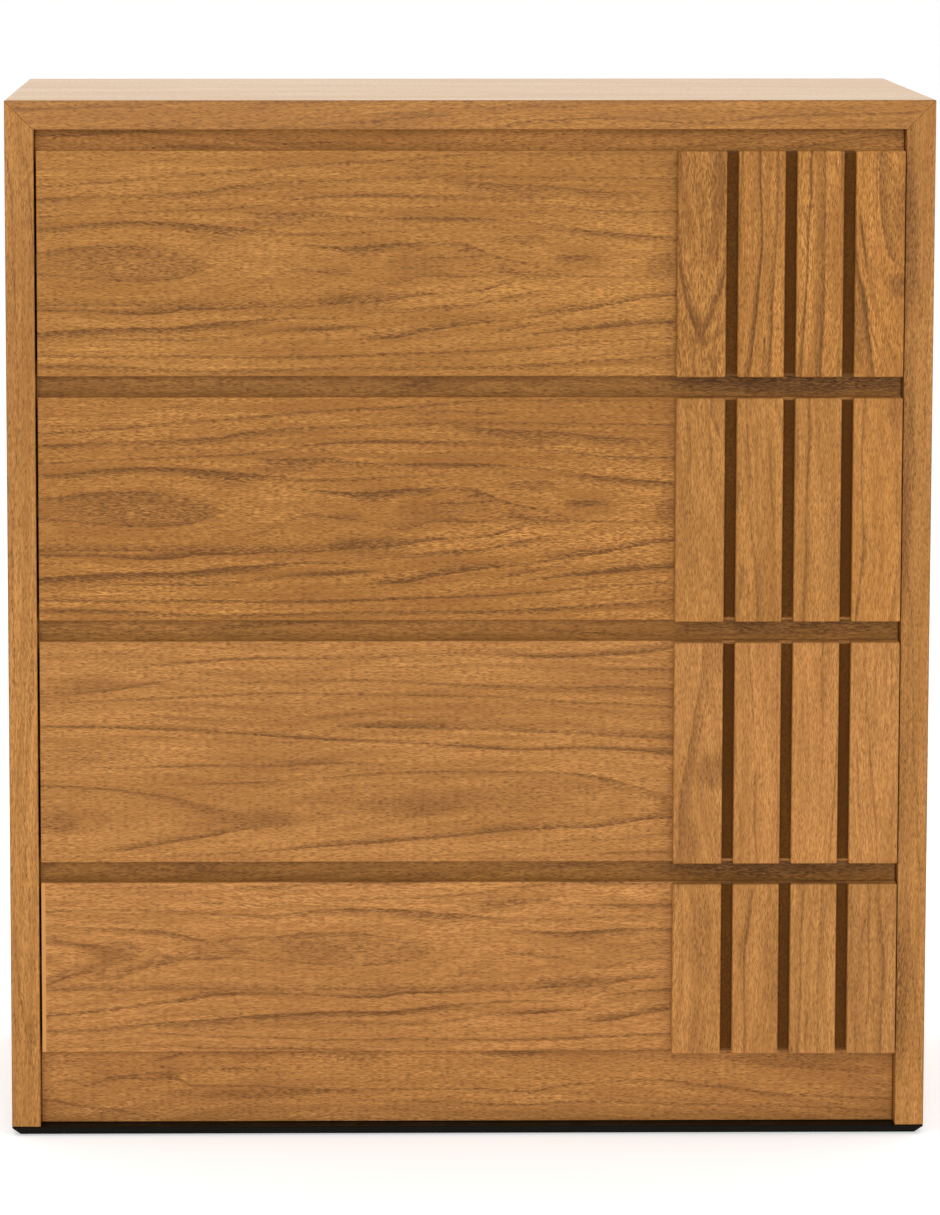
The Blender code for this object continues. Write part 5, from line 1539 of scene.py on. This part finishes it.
def dress_boxes():
    """The beech drawer boxes and their thin bottoms."""
    for number in DRAWERS:
        for order, (part, along) in enumerate((("left_side", "y"), ("right_side", "y"), ("back", "x"))):
            name = f"drawer_{number}_{part}"
            seed = 60.0 + number * 3.0 + order
            wood = beech(f"beech {in_words(name)}", name, along, "z", seed=seed)
            eased_board(name, f"drawer_{number}", wood, BOX_ARRIS)
        bottom = f"drawer_{number}_bottom"
        finish_node(bottom, hardboard(f"hardboard {in_words(bottom)}", bottom))


# Fastenings

def choose_end(piece, outward, wanted=lambda middle: True):
    """Chooses the flat faces at the outer end of the piece being edited, or only those that are wanted."""
    bpy.ops.mesh.select_mode(type="FACE")
    bpy.ops.mesh.select_all(action="DESELECT")
    mesh = bmesh.from_edit_mesh(piece.data)
    level = max(face.calc_center_median().dot(outward) for face in mesh.faces)
    for face in mesh.faces:
        middle = face.calc_center_median()
        at_end = abs(middle.dot(outward) - level) < NEAR and face.normal.dot(outward) > FACING
        face.select_set(at_end and wanted(middle))
    bmesh.update_edit_mesh(piece.data)


def cam_lock_head(name, middle, outward, material):
    """A zinc cam-lock head in a drawer side, with an eased rim, a ring and a cross for the screwdriver."""
    head = new_cylinder(name, CAM_FACETS, CAM_RADIUS, CAM_DEPTH, middle, (0.0, math.radians(90), 0.0))
    choose_end(head, outward)
    bpy.ops.mesh.bevel(offset=CAM_RIM, segments=1, affect="EDGES")
    choose_end(head, outward)
    bpy.ops.mesh.inset(thickness=CAM_RING)
    for axis in (1, 2):
        for side in (-1, 1):
            choose_end(head, outward)
            cut = middle.copy()
            cut[axis] += side * CAM_SLOT / 2
            bpy.ops.mesh.bisect(plane_co=cut, plane_no=[float(i == axis) for i in range(3)])

    def in_cross(place):
        off = place - middle
        near, far = sorted((abs(off.y), abs(off.z)))
        return near < CAM_SLOT / 2 and far < CAM_RADIUS - CAM_RIM - CAM_RING

    choose_end(head, outward, in_cross)
    bpy.ops.mesh.extrude_region_move(TRANSFORM_OT_translate={"value": tuple(outward * -CAM_SLOT_DEPTH)})
    end_editing(CAM_SMOOTH)
    head.data.materials.append(material)
    return head


def copied(piece, name, move, body):
    """Copies a finished piece, moves the copy in its mesh, and fixes it to a body."""
    copy = copy_of(piece, name)
    bpy.ops.transform.translate(value=tuple(move))
    bpy.ops.object.mode_set(mode="OBJECT")
    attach(copy, body)


def lock_the_boxes():
    """Two cam locks in each side of each drawer box, near the front that they hold."""
    zinc = dull_zinc("zinc cam locks")
    for side, word in SIDES:
        first = None
        for number in DRAWERS:
            low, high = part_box(f"drawer_{number}_{word}_side")
            inset = CAM_INSETS[number]
            face = low.x if side < 0 else high.x
            for level, height in (("lower", low.z + inset), ("upper", high.z - inset)):
                name = f"drawer_{number}_{word}_{level}_cam_lock"
                middle = Vector((face - side * (CAM_DEPTH / 2 - CAM_PROUD), low.y + CAM_SETBACK, height))
                if first is None:
                    first, first_middle = cam_lock_head(name, middle, Vector((side, 0.0, 0.0)), zinc), middle
                    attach(first, f"drawer_{number}")
                else:
                    copied(first, name, middle - first_middle, f"drawer_{number}")


def back_pin(name, middle, material):
    """A pin's domed head on the back panel."""
    pin = new_cylinder(name, PIN_FACETS, PIN_RADIUS, PIN_DEPTH, middle, (math.radians(90), 0.0, 0.0))
    choose_end(pin, Vector((0.0, 1.0, 0.0)))
    bpy.ops.mesh.bevel(offset=PIN_DOME, segments=3, profile=0.6, affect="EDGES")
    end_editing(PIN_SMOOTH)
    pin.data.materials.append(material)
    return pin


def pin_the_back():
    """Pins round the back panel: up both sides, along the top, and into the bottom panel."""
    low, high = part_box("back_panel")
    floor_low, floor_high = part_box("bottom_panel")
    left, right, top = low.x + PIN_INSET, high.x - PIN_INSET, high.z - PIN_INSET
    floor = (floor_low.z + floor_high.z) / 2
    level = high.y + PIN_DEPTH / 2 - PIN_SUNK
    across = [left + (right - left) * step / PINS_ACROSS for step in range(PINS_ACROSS + 1)]
    upward = [floor + (top - floor) * step / PINS_UPWARD for step in range(1, PINS_UPWARD)]
    places = [(x, z) for z in (top, floor) for x in across] + [(x, z) for z in upward for x in (left, right)]
    (first_x, first_z), *others = places
    first = back_pin("back_pin_01", (first_x, level, first_z), dull_zinc("zinc pins"))
    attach(first, "carcass")
    for count, (x, z) in enumerate(others, start=2):
        copied(first, f"back_pin_{count:02d}", (x - first_x, 0.0, z - first_z), "carcass")


# Studio

def make_floor():
    """A wide pale floor under the chest."""
    deselect_all()
    bpy.ops.mesh.primitive_plane_add(size=FLOOR_WIDTH, location=(0.0, 0.0, 0.0))
    floor = bpy.context.object
    floor.name = "studio_floor"
    floor.data.materials.append(pale_floor("pale floor"))


def make_room():
    """An even white room, brighter where the camera or a shiny surface sees it."""
    world = bpy.data.worlds.new("white room")
    bpy.context.scene.world = world
    world.use_nodes = True
    tree = world.node_tree
    tree.nodes.clear()
    room = add_node(tree, "ShaderNodeBackground", {"Color": WHITE, "Strength": SKY_STRENGTH})
    seen = add_node(tree, "ShaderNodeBackground", {"Color": WHITE, "Strength": GLOSS_STRENGTH})
    ray = add_node(tree, "ShaderNodeLightPath")
    direct = maths(tree, "MAXIMUM", ray.outputs["Is Camera Ray"], ray.outputs["Is Glossy Ray"])
    both = add_node(tree, "ShaderNodeMixShader", {0: direct, 1: room.outputs[0], 2: seen.outputs[0]})
    add_node(tree, "ShaderNodeOutputWorld", {"Surface": both.outputs[0]})


def make_lamps():
    """A soft lamp in front on the right, and a broad panel of light overhead."""
    deselect_all()
    bpy.ops.object.light_add(type="SUN", location=SUN_PLACE, rotation=SUN_TILT)
    lamp = bpy.context.object
    lamp.name = "soft_lamp_right"
    lamp.data.energy = SUN_STRENGTH
    lamp.data.angle = SUN_SPREAD
    deselect_all()
    bpy.ops.object.light_add(type="AREA", location=(0.0, 0.0, PANEL_HEIGHT))
    panel = bpy.context.object
    panel.name = "light_panel_overhead"
    panel.data.shape = "SQUARE"
    panel.data.size = PANEL_WIDTH
    panel.data.energy = PANEL_POWER


def make_camera():
    """The photograph's camera, level with the top and looking slightly down."""
    deselect_all()
    turn = (math.radians(90) - CAMERA_TILT, 0.0, -CAMERA_TURN)
    bpy.ops.object.camera_add(location=CAMERA_PLACE, rotation=turn)
    camera = bpy.context.object
    camera.data.lens = CAMERA_LENS
    camera.data.shift_x, camera.data.shift_y = CAMERA_SHIFT
    camera.data.clip_end = VIEW_END
    bpy.context.scene.camera = camera
    bpy.context.scene.view_settings.view_transform = "Standard"


make_camera()
make_room()
make_lamps()
make_floor()
dress_top_and_sides()
glue_mitres()
dress_rails()
dress_inside()
dress_fronts()
dress_slats()
dress_boxes()
lock_the_boxes()
pin_the_back()
